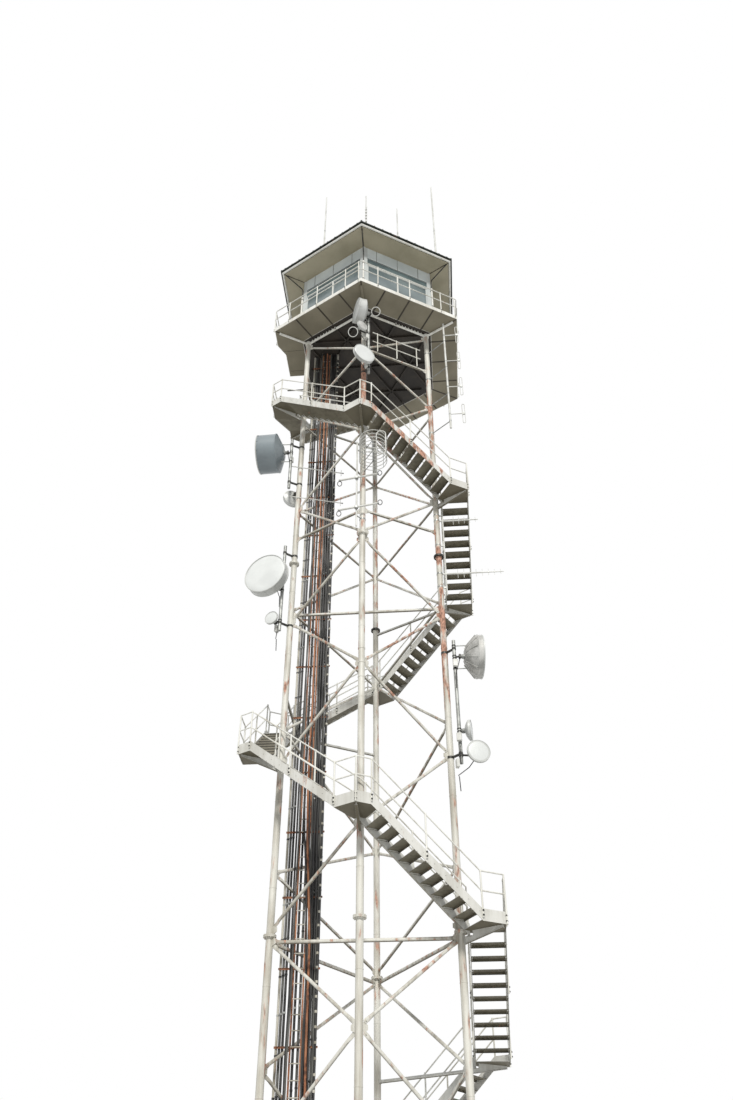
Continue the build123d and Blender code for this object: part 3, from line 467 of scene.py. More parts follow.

# Paints of the steelwork, with the screen colours of their clean and grimy parts; braces and stairs also get
# a darker painted shade on faces that look down
leg_paint = weathered("leg_cream", (215, 214, 206), (176, 172, 160), 0.34, leg_spots)
# Braces: (112, 106, 92) is painted shade on the faces that look down.
brace_paint = weathered(
    "brace_cream", (211, 210, 202), (162, 158, 146), 0.38, brace_spots, underside_shade=(112, 106, 92), drip=0.7
)
# Stairs and landings: (100, 94, 77) is painted shade on the faces that look down.
stair_paint = weathered(
    "stair_grey", (213, 213, 208), (192, 191, 184), 0.08, stair_spots, depth=0.001, underside_shade=(100, 94, 77)
)
rail_paint = weathered("rail_pale", (228, 228, 222), (196, 194, 184), 0.05)
tread_paint = weathered("tread_olive", (116, 111, 95), (90, 85, 70), 0.1)
deck_paint = weathered("deck_grey", (120, 117, 106), (92, 88, 76), 0.1)
trim_white = weathered("trim_white", (232, 232, 227), (206, 204, 195), 0.03)
roof_paint = weathered("roof_green", (52, 60, 54), (34, 39, 34), 0.2, roughness=0.6)
conduit_white = weathered("conduit_pale", (196, 193, 182), (146, 141, 126), 0.1)
ladder_paint = weathered(
    "ladder_primer", (176, 122, 88), (118, 78, 58), 0.7, roughness=0.6, rusty=brown_rust
)

# Coats with their two tones, scale of the drift, roughness and share of metal
soffit_paint = plain_coat("soffit_brown", (132, 126, 108), (115, 109, 92), 0.8, 0.6)
seam_paint = plain_coat("seam_dark", (66, 60, 48), (50, 45, 36), 3.0, 0.6)
under_dark = plain_coat("underfloor_dark", (50, 44, 37), (34, 30, 26), 1.5, 0.65)
panel_paint = plain_coat("panel_pale", (212, 219, 219), (194, 202, 202), 1.2, 0.35)
band_paint = plain_coat("band_teal", (92, 108, 110), (70, 85, 87), 1.2, 0.3)
eaves_paint = plain_coat("eaves_buff", (172, 165, 143), (152, 146, 124), 0.9, 0.6)
post_grey = plain_coat("post_grey", (200, 205, 204), (184, 189, 188), 1.5, 0.4)
dark_steel = plain_coat("steel_dark", (66, 66, 62), (40, 40, 38), 9.0, 0.5, 0.3)
zinc = plain_coat("steel_zinc", (172, 174, 171), (128, 130, 127), 8.0, 0.45, 0.3)
aerial_white = plain_coat("aerial_white", (216, 217, 213), (190, 190, 184), 3.0, 0.4)
aerial_grey = plain_coat("aerial_grey", (120, 122, 120), (86, 88, 86), 6.0, 0.4, 0.4)
cable_black = plain_coat("cable_black", (44, 44, 44), (28, 28, 28), 5.0, 0.45, stretch=(1, 1, 0.2))
cable_grey = plain_coat("cable_grey", (92, 92, 88), (60, 60, 58), 5.0, 0.5, stretch=(1, 1, 0.2))
dish_white = plain_coat("dish_white", (222, 225, 224), (211, 214, 213), 1.5, 0.3)
dish_shell = plain_coat("dish_shell", (204, 206, 204), (180, 182, 179), 2.0, 0.35)
dish_back = plain_coat("dish_back", (200, 200, 197), (160, 160, 156), 3.0, 0.45, 0.1)
slate = plain_coat("dish_slate", (132, 142, 147), (112, 121, 126), 0.8, 0.32)


def window_glass():
    """Dark clear glass with a faint waviness."""
    paint = Paint("glass_window", 0.06)
    tone = paint.mix(paint.between(paint.noise(0.8), 0.35, 0.65), (142, 156, 158), (112, 127, 130))
    paint.shader.inputs["Transmission Weight"].default_value = 0.35
    paint.shader.inputs["IOR"].default_value = 1.5
    return paint.finish(tone, None, paint.noise(2.0, detail=1.0))


def dress(material, *names):
    """Give CAD nodes that stay a material."""
    for name in names:
        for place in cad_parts[name].material_slots:
            place.material = material


dress(tread_paint, *(f"stair_treads_{turn}" for turn in (1, 2, 3)))
dress(stair_paint, *(f"stair_stringers_{turn}" for turn in (1, 2, 3)), "stair_landings_1", "stair_landings_2")
dress(deck_paint, "gallery_deck")
dress(soffit_paint, "gallery_soffit")
dress(trim_white, "gallery_fascia", "cabin_door")
dress(post_grey, "window_frames", "cabin_corner_posts")
dress(under_dark, "cabin_floor", "gallery_joists")
dress(panel_paint, "cabin_sill_walls", "cabin_upper_panels")
dress(band_paint, "cabin_header_bands")
dress(window_glass(), "window_panes")
dress(eaves_paint, "roof_soffit")
dress(roof_paint, "roof_shell")


# Bracing layout, repeated from the CAD part: each end is a leg's vertex with a height
def near_members(vertex):
    """Zigzag between the near leg and a leg beside it."""
    members = []
    for height in range(2, 25, 4):
        members += [((0, height), (vertex, height + way)) for way in (-2, 2) if height + way > 0]
    return members + [((0, near_top_node), (vertex, height)) for height in (24, near_head)]


def rear_members(vertex):
    """Zigzag between the far leg and a leg on one side."""
    members = []
    for low, far, high in zip(rear_leg_nodes, rear_far_nodes, rear_leg_nodes[1:]):
        members += [((vertex, low), (3, far)), ((3, far), (vertex, high))]
    return members


level_pairs = [(5, 1, low_beams), (5, 1, middle_beams), (1, 3, low_beams), (5, 3, low_beams)]
level_pairs += [(0, 1, near_beams), (0, 5, near_beams), (0, 1, near_top_node)]
bracing_sets = {
    "bracing_near_left": (near_members(5), brace_radius),
    "bracing_near_right": (near_members(1), brace_radius),
    "bracing_rear_left": (rear_members(5), brace_radius),
    "bracing_rear_right": (rear_members(1), brace_radius),
    "level_beams": ([((first, height), (last, height)) for first, last, height in level_pairs], beam_radius),
}


def seat_height(height, other_height):
    """Height at which a tube meets a leg, clear of a flange."""
    for joint in joint_heights:
        if abs(height - joint) < joint_clearance:
            return joint + joint_clearance if other_height > height else joint - joint_clearance
    return height


def seated(first, second):
    """Both ends of a tube with their heights moved clear of the flanges."""
    return (first[0], seat_height(first[1], second[1])), (second[0], seat_height(second[1], first[1]))


def gusset_places(vertex, low, high):
    """Heights and far vertices of the gussets on one length of a leg."""
    places = set()
    for members, _ in bracing_sets.values():
        for member in members:
            ends = seated(*member)
            for here, there in (ends, ends[::-1]):
                if here[0] == vertex and low < here[1] < high:
                    places.add((here[1], there[0]))
    return sorted(places)


# Legs
def leg_flange(shape, vertex, low, bolts_up):
    """Flange disc with a weld collar, and bolt heads on its outer face."""
    edge = 0.003
    profile = (
        (0, flange_radius - edge), (edge, flange_radius),
        (flange_thickness - edge, flange_radius), (flange_thickness, flange_radius - edge),
    )
    darkened = 1 if vertex in (1, 3) and low > 17 else 0
    shape.turned(on_leg(vertex, low), up, profile, leg_sides, darkened)
    face = on_leg(vertex, low + flange_thickness if bolts_up else low)
    way = up if bolts_up else -up
    shape.turned(face, way, ((0, leg_radius + 0.014), (0.016, leg_radius)), leg_sides)
    for place in circle(face, side_way, ahead, bolt_circle, 8, 0.5):
        shape.bolt(place, way, 0.03, darkened)


def leg_foot(shape, vertex):
    """Base plate, crossed ribs and anchor bolts."""
    foot = on_leg(vertex)
    shape.block(foot + up * base_thickness / 2, side_way, ahead, (base_width, base_width, base_thickness))
    half_rib = ((0.173, 0.024), (0.173, 0.05), (0.082, 0.184))
    for along, flat in ((side_way, ahead), (ahead, side_way)):
        outline = [foot + along * x + up * z for x, z in half_rib]
        outline += [foot - along * x + up * z for x, z in half_rib[::-1]]
        shape.slab(outline, flat * 0.014)
    for x in (-0.13, 0.13):
        for y in (-0.13, 0.13):
            place = foot + Vector((x, y, base_thickness))
            shape.bolt(place, up, 0.044, 1)
            shape.band(place, 0.011, 0.05, 12, 1)


def gusset(shape, vertex, height, toward, low, high):
    """Plate with clipped corners in the plane of a brace."""
    flat = (on_leg(toward) - on_leg(vertex)).normalized()
    bottom = max(height - gusset_half_height, low + flange_thickness)
    top = min(height + gusset_half_height, high - flange_thickness)
    clip = min(0.09, (top - bottom) / 4)
    profile = (
        (0.07, bottom), (0.1, bottom), (gusset_reach, bottom + clip),
        (gusset_reach, top - clip), (0.1, top), (0.07, top),
    )
    outline = [on_leg(vertex) + flat * x + up * z for x, z in profile]
    shape.slab(outline, flat.cross(up) * 2 * gusset_half_thickness)


weld_ring = ((0, leg_radius), (0.006, leg_radius + 0.005), (0.014, leg_radius + 0.005), (0.02, leg_radius))


def leg_length(vertex, low, high, shape):
    """One length of a leg with its flanges, gussets and weld rings."""
    shape.tube(on_leg(vertex, low), on_leg(vertex, high), leg_radius, leg_sides)
    if low:
        leg_flange(shape, vertex, low, True)
    else:
        leg_foot(shape, vertex)
    if high < deck_bottom:
        leg_flange(shape, vertex, high - flange_thickness, False)
    for height, toward in gusset_places(vertex, low, high):
        gusset(shape, vertex, height, toward, low, high)
    for seam in range(int(low) + 1, int(high), 2):
        shape.turned(on_leg(vertex, seam), up, weld_ring, leg_sides)


leg_cuts = (0, *joint_heights, deck_bottom)
for node, low, high in zip(("legs_lower", "legs_middle", "legs_upper"), leg_cuts, leg_cuts[1:]):
    legs = Shape()
    for vertex in leg_vertices:
        leg_length(vertex, low, high, legs)
    if low == joint_heights[0]:
        for level in (13.55, 13.95, 14.35):
            legs.band(on_leg(0, level), leg_radius + 0.009, 0.035, leg_sides)
    make(legs, f"{node}_tubes", (leg_paint, dark_steel), "leg_paint", node)


# Braces: round tubes with flattened, bolted ends
def brace(shape, first, second, radius):
    """Tube between two legs, pressed flat where it lies on the gussets."""
    start = on_leg(*first)
    run = on_leg(*second) - start
    level = Vector((run.x, run.y, 0))
    pitch = atan2(run.z, level.length)
    axis = run.normalized()
    normal = level.cross(up).normalized()
    flat = normal.cross(axis)
    inset = tube_start / cos(pitch)
    tab = tab_start / cos(pitch)
    offset = gusset_half_thickness + 0.007
    stations = [
        (tab, 0.034, 0.006, offset), (tab + 0.02, 0.046, 0.006, offset),
        (inset - 0.02, 0.046, 0.0065, offset), (inset + 0.06, radius * 1.08, radius * 0.8, 0),
        (inset + 0.13, radius, radius, 0),
    ]
    stations += [(run.length - far, *rest) for far, *rest in stations[::-1]]
    rings = []
    for far, wide, thick, shift in stations:
        middle = start + axis * far + normal * shift
        rings.append(circle(middle, flat * wide, normal * thick, 1, tube_sides))
    shape.rings(rings)
    for far in (tab + 0.045, run.length - tab - 0.045):
        shape.bolt(start + axis * far + normal * (offset + 0.006), normal, 0.026)


for node, (members, radius) in bracing_sets.items():
    tubes = Shape()
    for member in members:
        brace(tubes, *seated(*member), radius)
    make(tubes, f"{node}_tubes", (brace_paint,), "brace_paint", node)


# Landing arms and the tubes that carry them
def arm(shape, vertex, height, root):
    """Tapered arm out under a landing, with a flange along its lower edge and an end plate."""
    radial = radial_way(vertex)
    across = radial.cross(up)
    inside = (stair_inner + 0.01) / cos(half_hex)
    tip = (stair_outer - 0.01) / cos(half_hex) - 0.06
    base = corner(vertex, 0, height)
    profile = (
        (root, -0.105), (inside + 0.06, -0.105), (inside + 0.06, -0.008),
        (tip, -0.008), (tip, -0.06), (root, -0.247),
    )
    shape.slab([base + radial * x + up * z for x, z in profile], across * 0.014)
    for edge in (((root, -0.251), (tip, -0.064)), ((root, -0.109), (inside + 0.05, -0.109))):
        start, end = [base + radial * x + up * z for x, z in edge]
        shape.strip(start, end, across, 0.06, 0.008)
    shape.block(base + radial * (root + 0.005) + up * -0.18, up, across, (0.15, 0.09, 0.01))


arms = Shape()
landing_places = [(flight_side(flight), (flight + 1) * flight_rise) for flight in range(last_flight)]
for vertex, height in landing_places:
    if vertex in leg_vertices:
        arm(arms, vertex, height, leg_ring + leg_radius)
        continue
    arm(arms, vertex, height, leg_ring - 0.08)
    level = height - 0.18
    for neighbour in (vertex - 1, vertex + 1):
        end = on_leg(vertex, level)
        run = (end - on_leg(neighbour, level)).normalized()
        start = on_leg(neighbour, level) + run * leg_radius
        arms.tube(start, end - run * 0.06, 0.038)
        arms.turned(start, run, ((0, 0.05), (0.012, 0.05)), tube_sides)
make(arms, "landing_arm_frames", (stair_paint,), "brace_paint", "landing_arms")


# Stair railings and the bolts of the stair
def edge_height(along):
    """Height of a stringer's top edge above the lower landing."""
    return riser + (along - flight_foot) * slope + edge_rise


def flight_rails(shape, fixings, flight, apothem, foot, head, shares):
    """Two rails and their bolted posts beside one flight."""
    side = flight_side(flight)
    base = flight * flight_rise
    face = outward(side) * (1 if apothem > stair_inner else -1)
    for level in rail_levels:
        ends = [on_side(side, along, apothem, base + edge_height(along) + level) for along in (foot, head)]
        shape.tube(*ends, rail_radius, rail_sides)
    for share in shares:
        along = foot + share * (head - foot)
        edge = on_side(side, along, apothem, base + edge_height(along))
        shape.tube(edge - up * 0.18, edge + up * rail_levels[0], post_radius, rail_sides)
        for level in rail_levels:
            shape.band(edge + up * (level - 0.022), post_radius + 0.004, 0.044, rail_sides)
        for depth in (0.05, 0.14):
            fixings.bolt(edge - up * depth + face * post_radius * 0.9, face, 0.03)


turns = (range(0, 6), range(6, 12), range(12, last_flight))
fixings = Shape()
rail_lines = (("outer", outer_rail_apothem, outer_ends), ("inner", inner_rail_apothem, inner_ends))
last_rails = {"outer": (last_head - 0.038, (0, 0.5, 1)), "inner": (-0.5125, (0, 1))}
for name, apothem, (foot, head) in rail_lines:
    for turn, flights in enumerate(turns, start=1):
        rails = Shape()
        for flight in flights:
            flight_rails(rails, fixings, flight, apothem, foot, head, (0, 0.5, 1))
        if turn == 3:
            flight_rails(rails, fixings, last_flight, apothem, foot, *last_rails[name])
        node = f"flight_railings_{name}_{turn}"
        make(rails, f"{node}_tubes", (rail_paint,), "rail_paint", node)

for name, apothem, (foot, head) in rail_lines:
    rails = Shape()
    for vertex, height in landing_places:
        for level in rail_levels:
            arrival = height - flight_rise + edge_height(head) + level
            departure = height + edge_height(foot) + level
            middle = apothem_corner(vertex, apothem, (arrival + departure) / 2)
            start = on_side(vertex, head, apothem, arrival)
            end = on_side(vertex - 1, foot, apothem, departure)
            rails.bent([start, middle, end], rail_radius)
        if name == "outer":
            post = corner(vertex, stair_outer / cos(half_hex) + post_radius + 0.0003, height - 0.02)
            rails.tube(post, post + up, post_radius, rail_sides)
            for rise in (0.06, 0.17):
                fixings.block(post + up * rise, radial_way(vertex).cross(up), up, (0.055, 0.02, 0.03))
    node = f"landing_railings_{name}"
    make(rails, f"{node}_tubes", (rail_paint,), "rail_paint", node)

# Tread bolts, angle irons under the treads, and dark strips along their front edges as painted shade of the
# tread lips
lip_shade_and_cleats = Shape()
for flight in range(last_flight + 1):
    side = flight_side(flight)
    along = along_side(side)
    for step in range(1, 9 if flight == last_flight else 10):
        front = flight_foot + (step - 1) * going
        level = flight * flight_rise + step * riser
        # A thin dark strip under the front edge of each tread: painted shade of the tread lip.
        shaded_lip = on_side(side, front - 0.0195, (stair_inner + stair_outer) / 2, level - 0.038)
        lip_shade_and_cleats.block(shaded_lip, outward(side), along, (0.72, 0.02, 0.006))
        for apothem, way in ((stair_outer, 1), (stair_inner, -1)):
            for shift in (-0.07, 0.07):
                place = on_side(side, front + 0.11 + shift, apothem, level - 0.03)
                fixings.bolt(place, outward(side) * way, 0.018, 1)
            angle = on_side(side, front + 0.11, apothem - 0.024 * way, level - 0.021)
            lip_shade_and_cleats.block(angle, along, up, (0.2, 0.028, 0.026), 1)
make(fixings, "stair_bolts", (dark_steel, stair_paint), "bracket_steel")
make(lip_shade_and_cleats, "tread_lip_shade_and_cleats", (seam_paint, stair_paint), "tread_plate")


# Gallery and platform railings
def fence(shape, bolts, first, last, shares, low, face):
    """Two rails with posts at shares of their length."""
    for level in fence_levels:
        shape.tube(first + up * level, last + up * level, rail_radius, rail_sides)
    for share in shares:
        foot = first + (last - first) * share
        shape.tube(foot + up * low, foot + up * fence_levels[0], post_radius, rail_sides)
        for level in fence_levels:
            shape.band(foot + up * (level - 0.02), post_radius + 0.003, 0.04, rail_sides)
        if low < 0:
            for depth in (0.035, -low - 0.035):
                bolts.bolt(foot - up * depth + face * post_radius * 0.9, face, 0.026)


half_fence = fence_apothem * tan(half_hex) - rail_radius
well_start = 0.65 - gallery_apothem * tan(half_hex)
whole_side = (0.02, 0.17, 0.5, 0.83)
ends_only = (0.05, 0.95)
rails = Shape()
rail_bolts = Shape()
stretches = [(side, -half_fence, half_fence, fence_apothem, whole_side, -0.15) for side in (0, 1, 2, 5)]
stretches += [
    (4, -half_fence, well_start - rail_radius, fence_apothem, ends_only, -0.15),
    (4, well_start + 0.4, 0.228, 2.858, ends_only, 0),
    (3, last_head + 0.038, half_fence, fence_apothem, ends_only, -0.15),
]
for side, start, end, apothem, shares, low in stretches:
    first, last = [on_side(side, along, apothem, deck_top) for along in (start, end)]
    fence(rails, rail_bolts, first, last, shares, low, outward(side))
make(rails, "gallery_railing_tubes", (rail_paint,), "rail_paint", "gallery_railing")

rails = Shape()
start, end = [on_leg(vertex, near_top_node) + outward(0) * 0.0593 for vertex in (0, 1)]
inset = (end - start).normalized() * fence_inset
fence(rails, rail_bolts, start + inset, end - inset, (0.1, 0.5, 0.92), -0.04, outward(0))
make(rails, "platform_railing_tubes", (rail_paint,), "rail_paint", "platform_railing")
make(rail_bolts, "railing_bolts", (dark_steel,), "bracket_steel")

# Tubes that carry the gallery
supports = Shape()
level = deck_bottom - beam_radius
for vertex in (1, 5):
    supports.tube(on_leg(0, level), on_leg(vertex, level), beam_radius)
for vertex in leg_vertices:
    tip = apothem_corner(vertex, 2.94, level)
    supports.tube(on_leg(vertex, level), tip, beam_radius, tube_sides, 0 if vertex else 1)
    supports.turned(on_leg(vertex, level - 0.09), up, ((0, 0.094), (0.02, 0.1), (0.13, 0.1)), leg_sides)
make(supports, "gallery_support_tubes", (trim_white, soffit_paint), "trim_paint", "gallery_supports")

# Dark joints under the gallery, hangers along its inner edge, and joists under the cabin
seams = Shape()
spacing = gallery_apothem * tan(half_hex) / 2
seam_level = deck_bottom - 0.002
for side in range(6):
    for along in (-spacing, 0, spacing):
        if side == 4 and along < 0.3 or side == 3 and along < 0.95:
            continue
        start = on_side(side, along, floor_apothem + 0.005, seam_level)
        end = on_side(side, along, 3.065, seam_level)
        seams.strip(start, end, along_side(side), 0.055, 0.004)
for vertex in (0, 1, 2, 3, 5):
    start, end = [apothem_corner(vertex, apothem, seam_level) for apothem in (floor_apothem, 3.06)]
    seams.strip(start, end, radial_way(vertex).cross(up), 0.05, 0.004)
for side, first in ((0, -8), (5, 0)):
    for index in range(first, first + 9):
        place = on_side(side, index * 0.12, floor_apothem - 0.12, deck_bottom - 0.03)
        seams.block(place, up, along_side(side), (0.06, 0.035, 0.012), 1)
for side in (0, 1, 2):
    for across in (-1.2, 0, 1.2):
        middle = on_side(side, across, 0, deck_bottom - 0.04)
        length = 2 * sqrt(2.4 ** 2 - across ** 2) * 0.86
        seams.block(middle, outward(side), along_side(side), (length, 0.05, 0.07), 2)
seam_looks = (seam_paint, trim_white, under_dark)
make(seams, "underfloor_joints_and_hangers", seam_looks, "soffit_sheet")

# Cabin: panel joints, drip strips and door furniture
trims = Shape()
half_wall = cabin_apothem * tan(half_hex) - 0.15
face = cabin_apothem + 0.0015
for side in range(6):
    wall = along_side(side)
    for low, high in ((glazing_top, wall_top), (deck_top, sill_top)):
        for along in (-0.7 * half_wall, 0, 0.7 * half_wall):
            if side == door_side and low == deck_top and not along:
                continue
            trims.block(on_side(side, along, face, (low + high) / 2), up, wall, (high - low, 0.014, 0.005))
    bars = [
        (face, glazing_top - 0.005, 0, 0.014, 0.01, 0),
        (face + 0.008, wall_top - 0.014, 0.2, 0.026, 0.02, 1),
        (cabin_apothem - 0.016, 29.99, 0, 0.03, 0.03, 2),
    ]
    if side != door_side:
        bars.append((face + 0.012, sill_top + 0.015, 0, 0.03, 0.03, 2))
        trims.block(on_side(side, 0, cabin_apothem - 0.012, 29.33), up, wall, (1.32, 0.045, 0.02), 2)
    for apothem, level, more, height, depth, finish in bars:
        place = on_side(side, 0, apothem, level)
        trims.block(place, wall, up, (2 * half_wall + more, height, depth), finish)
wall = along_side(door_side)
leaf = on_side(door_side, 0, cabin_apothem - 0.016, 28.9)
trims.block(leaf, up, wall, (1.9, 0.84, 0.008), 2)
for low, high in ((27.95, 28.75), (28.95, 29.85)):
    middle = on_side(door_side, 0, cabin_apothem - 0.012, (low + high) / 2)
    trims.block(middle, up, wall, (high - low, 0.62, 0.008), 2)
lever = ((0.32, 2.275), (0.32, 2.33), (0.2, 2.335))
handle = [on_side(door_side, along, apothem, 28.85) for along, apothem in lever]
trims.bent(handle, 0.011, 10, 3)
trims.turned(handle[0], outward(door_side), ((0, 0.03), (0.012, 0.027)), 20, 3)
for level in (28.1, 28.9, 29.7):
    trims.band(on_side(door_side, -0.42, 2.285, level - 0.06), 0.012, 0.12, 12, 3)
make(trims, "cabin_trims", (seam_paint, eaves_paint, trim_white, dark_steel), "trim_paint")

# Eaves: battens on the corners, gutter brackets, verge strip and roof ribs
eaves = Shape()
ribs = Shape()
crest = verge_top + (verge_apothem - roof_cap) * tan(roof_pitch)
for side in range(6):
    wall = along_side(side)
    start, end = [apothem_corner(side, far, wall_top - 0.003) for far in (cabin_apothem, soffit_apothem)]
    eaves.strip(start, end, radial_way(side).cross(up), 0.03, 0.006)
    for index in range(-3, 4):
        along = index * 0.47
        strap = [on_side(side, along, soffit_apothem + 0.002, wall_top + 0.075)]
        for step in range(9):
            turn = pi * step / 8
            out = gutter_apothem - 0.043 * cos(turn)
            strap.append(on_side(side, along, out, wall_top + 0.04 - 0.05 * sin(turn)))
        eaves.bent(strap, 0.006, 6, 1)
    for index in range(-5, 6):
        along = index * 0.32
        inner = max(abs(along) / tan(half_hex) + 0.02, roof_cap)
        low = on_side(side, along, verge_apothem, verge_top + 0.008)
        high = on_side(side, along, inner, verge_top + (verge_apothem - inner) * tan(roof_pitch) + 0.008)
        ribs.strip(low, high, wall, 0.03, 0.03)
        edge = on_side(side, along, verge_apothem + 0.004, verge_top - 0.012)
        ribs.block(edge, up, wall, (0.05, 0.045, 0.012))
    low = apothem_corner(side, verge_apothem, verge_top)
    ribs.tube(low, apothem_corner(side, roof_cap, crest), 0.035, 12)
    first, last = [apothem_corner(end, verge_apothem + 0.006, verge_top - 0.038) for end in (side, side + 1)]
    ribs.strip(first, last, up, 0.02, 0.014, 1)
cap = ((0, 0.36), (0.03, 0.35), (0.09, 0.06), (0.1, 0.02))
ribs.turned(Vector((0, centre_y, crest - 0.01)), up, cap, 6)
make(eaves, "eaves_battens_and_brackets", (seam_paint, trim_white), "trim_paint")
make(ribs, "roof_ribs", (roof_paint, dark_steel), "roof_sheet")

# Half-round gutter against the edge of the eaves: its outer skin, and an inner one at 0.88 of it
trough = []
for step in range(11):
    turn = pi * step / 10
    trough.append((gutter_apothem - 0.038 * cos(turn), 0.045 - 0.045 * sin(turn)))
trough += [
    (gutter_apothem - (far - gutter_apothem) * 0.88, 0.045 + (rise - 0.045) * 0.88) for far, rise in trough
]
rings = []
for vertex in range(6):
    rings.append([apothem_corner(vertex, far, wall_top + rise) for far, rise in trough])
gutter = Shape()
gutter.rings(rings, 0, True)
make(gutter, "eaves_gutter", (trim_white,), "trim_paint", "roof_gutter")

pipes = Shape()
for vertex in (0, 1, 5):
    top = apothem_corner(vertex, 2.91, 30.95)
    knee = apothem_corner(vertex, 2.3203, 30.53)
    foot = Vector((*knee.xy, deck_top))
    out = radial_way(vertex)
    pipes.tube(foot, knee - up * 0.5, 0.03)
    pipes.tube(knee - up * 0.56, knee - up * 0.5, 0.034)
    pipes.bent([knee - up * 0.52, knee - up * 0.1, knee + out * 0.03, top - out * 0.03, top], 0.02, 12, 1)
    for level in (28.1, 29.0, 29.9):
        clip = Vector((*knee.xy, level))
        pipes.band(clip, 0.036, 0.03, tube_sides, 1)
        pipes.block(clip + up * 0.015 - out * 0.03, out, up, (0.03, 0.03, 0.05), 1)
make(pipes, "rainwater_pipes", (trim_white, dark_steel), "trim_paint", "downpipes")

# Roof aerials: tapered whips with collars, and one lattice mast with a spike
whips = Shape()
whip_foot = min(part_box("roof_aerials")[0].z, verge_top) + 0.02
lattice_x = 0.02
whip_sizes = (
    (-1.57, 0.6, 35.96, 0.03), (lattice_x, 0.3, 35.3, 0.04),
    (1.19, 0.5, 34.6, 0.027), (2.59, 1.5, 37.7, 0.036),
)
for x, y, top, radius in whip_sizes:
    place = Vector((x, y, whip_foot))
    height = top - whip_foot
    if x == lattice_x:
        for foot in circle(place, side_way, ahead, radius - 0.006, 3):
            whips.tube(foot, foot + up * height * 0.82, 0.009, 8)
        for step in range(int(height * 0.82 / 0.2)):
            whips.band(place + up * step * 0.2, radius - 0.003, 0.02, 8)
        whips.tube(place + up * height * 0.8, place + up * height, 0.02, rail_sides)
        continue
    profile = (
        (0, radius), (height * 0.45, radius), (height * 0.45 + 0.02, radius * 0.85),
        (height * 0.8, radius * 0.8), (height * 0.99, radius * 0.7), (height, radius * 0.4),
    )
    whips.turned(place, up, profile, tube_sides)
    for share in (0.18, 0.5):
        whips.band(place + up * height * share, radius * 0.9, 0.07, tube_sides, 1)
make(whips, "roof_whips", (aerial_white, zinc), "aerial_metal", "roof_aerials")

# Cable ladder with rungs and cross bars
ladder = Shape()
ladder_x = -1.45
ladder_y = 1.72
half_ladder = side_way * 0.11
for shift in (-half_ladder, half_ladder):
    rail = Vector((ladder_x, ladder_y, deck_bottom / 2)) + shift
    ladder.block(rail, up, side_way, (deck_bottom, 0.04, 0.012))
    ladder.block(rail + ahead * 0.012, up, side_way, (deck_bottom, 0.012, 0.03))
for index in range(1, 92):
    rung = Vector((ladder_x, ladder_y, index * 0.3))
    ladder.tube(rung - half_ladder, rung + half_ladder, 0.012, 8, 1)
for index in range(1, 19):
    bar = Vector((ladder_x, ladder_y + 0.0403, index * 1.5))
    ladder.block(bar, side_way, up, (0.9, 0.04, 0.006))
    ladder.block(bar + up * 0.017, side_way, up, (0.9, 0.006, 0.036))
make(ladder, "cable_ladder_frame", (ladder_paint, conduit_white), "ladder_rust", "cable_ladder")

# Strapped cables with their place along the ladder and finish, then loose ones with depth and radius too
cables = Shape()
cable_y = 1.8081
clipped_shift = 0.4
strapped = (
    (-0.41, 1), (-0.345, 3), (-0.28, 0), (-0.06, 0), (0.04, 3), (0.18, 0), (0.25, 0), (0.32, 3), (0.39, 0),
)
cable_runs = [(shift, cable_y, 0.0275, finish) for shift, finish in strapped]
cable_runs += [
    (-0.17, 1.68, 0.022, 0), (-0.14, 1.65, 0.02, 3), (-0.04, 1.68, 0.022, 0), (0.03, 1.675, 0.026, 4),
    (0.07, 1.69, 0.018, 0), (0.16, 1.71, 0.022, 3), (0.22, 1.725, 0.026, 0), (0.29, 1.71, 0.024, 0),
    (0.35, 1.725, 0.02, 3), (clipped_shift, 1.72, 0.022, 0),
]
drift = Random(7)
for shift, y, radius, finish in cable_runs:
    loose = 0 if y == cable_y else 0.022
    aside = 0.2 if loose and abs(shift) < 0.1 else 0
    foot = Vector((ladder_x + shift, y, 0))
    lower = foot + side_way * aside
    route = [lower, lower + up * 0.3]
    for step in range(1, 24):
        level = deck_bottom * step / 24
        sway = Vector((drift.uniform(-loose, loose), drift.uniform(-loose, loose) * 0.4, 0))
        lean = aside * min(max((11 - level) / 3, 0), 1)
        route.append(foot + up * level + sway + side_way * lean)
    route += [foot + up * (deck_bottom - 0.3), foot + up * deck_bottom]
    cables.bent(route, radius, 10, finish)
    if shift == clipped_shift:
        clip = ((0, radius + 0.006), (0.05, radius + 0.006))
        for start, end in zip(route[1:], route[2:]):
            for share in (0, 0.25, 0.5, 0.75):
                cables.turned(start.lerp(end, share), end - start, clip, 8, 1)
    if loose:
        continue
    for step in range(1, 37):
        tie = foot + up * (step * 0.75 + shift * 0.4)
        cables.band(tie, radius + 0.005, 0.035, 10, 0 if step % 3 else 2)
cable_looks = (cable_black, conduit_white, zinc, cable_grey, ladder_paint)
make(cables, "feeder_cable_run", cable_looks, "cable_sheath", "feeder_cables")


# Dishes: turned drums with a domed front, rims and a curved back
def facing_way(angle):
    """Level direction that a dish looks in, turned from the near side."""
    return Vector((sin(radians(angle)), -cos(radians(angle)), 0))


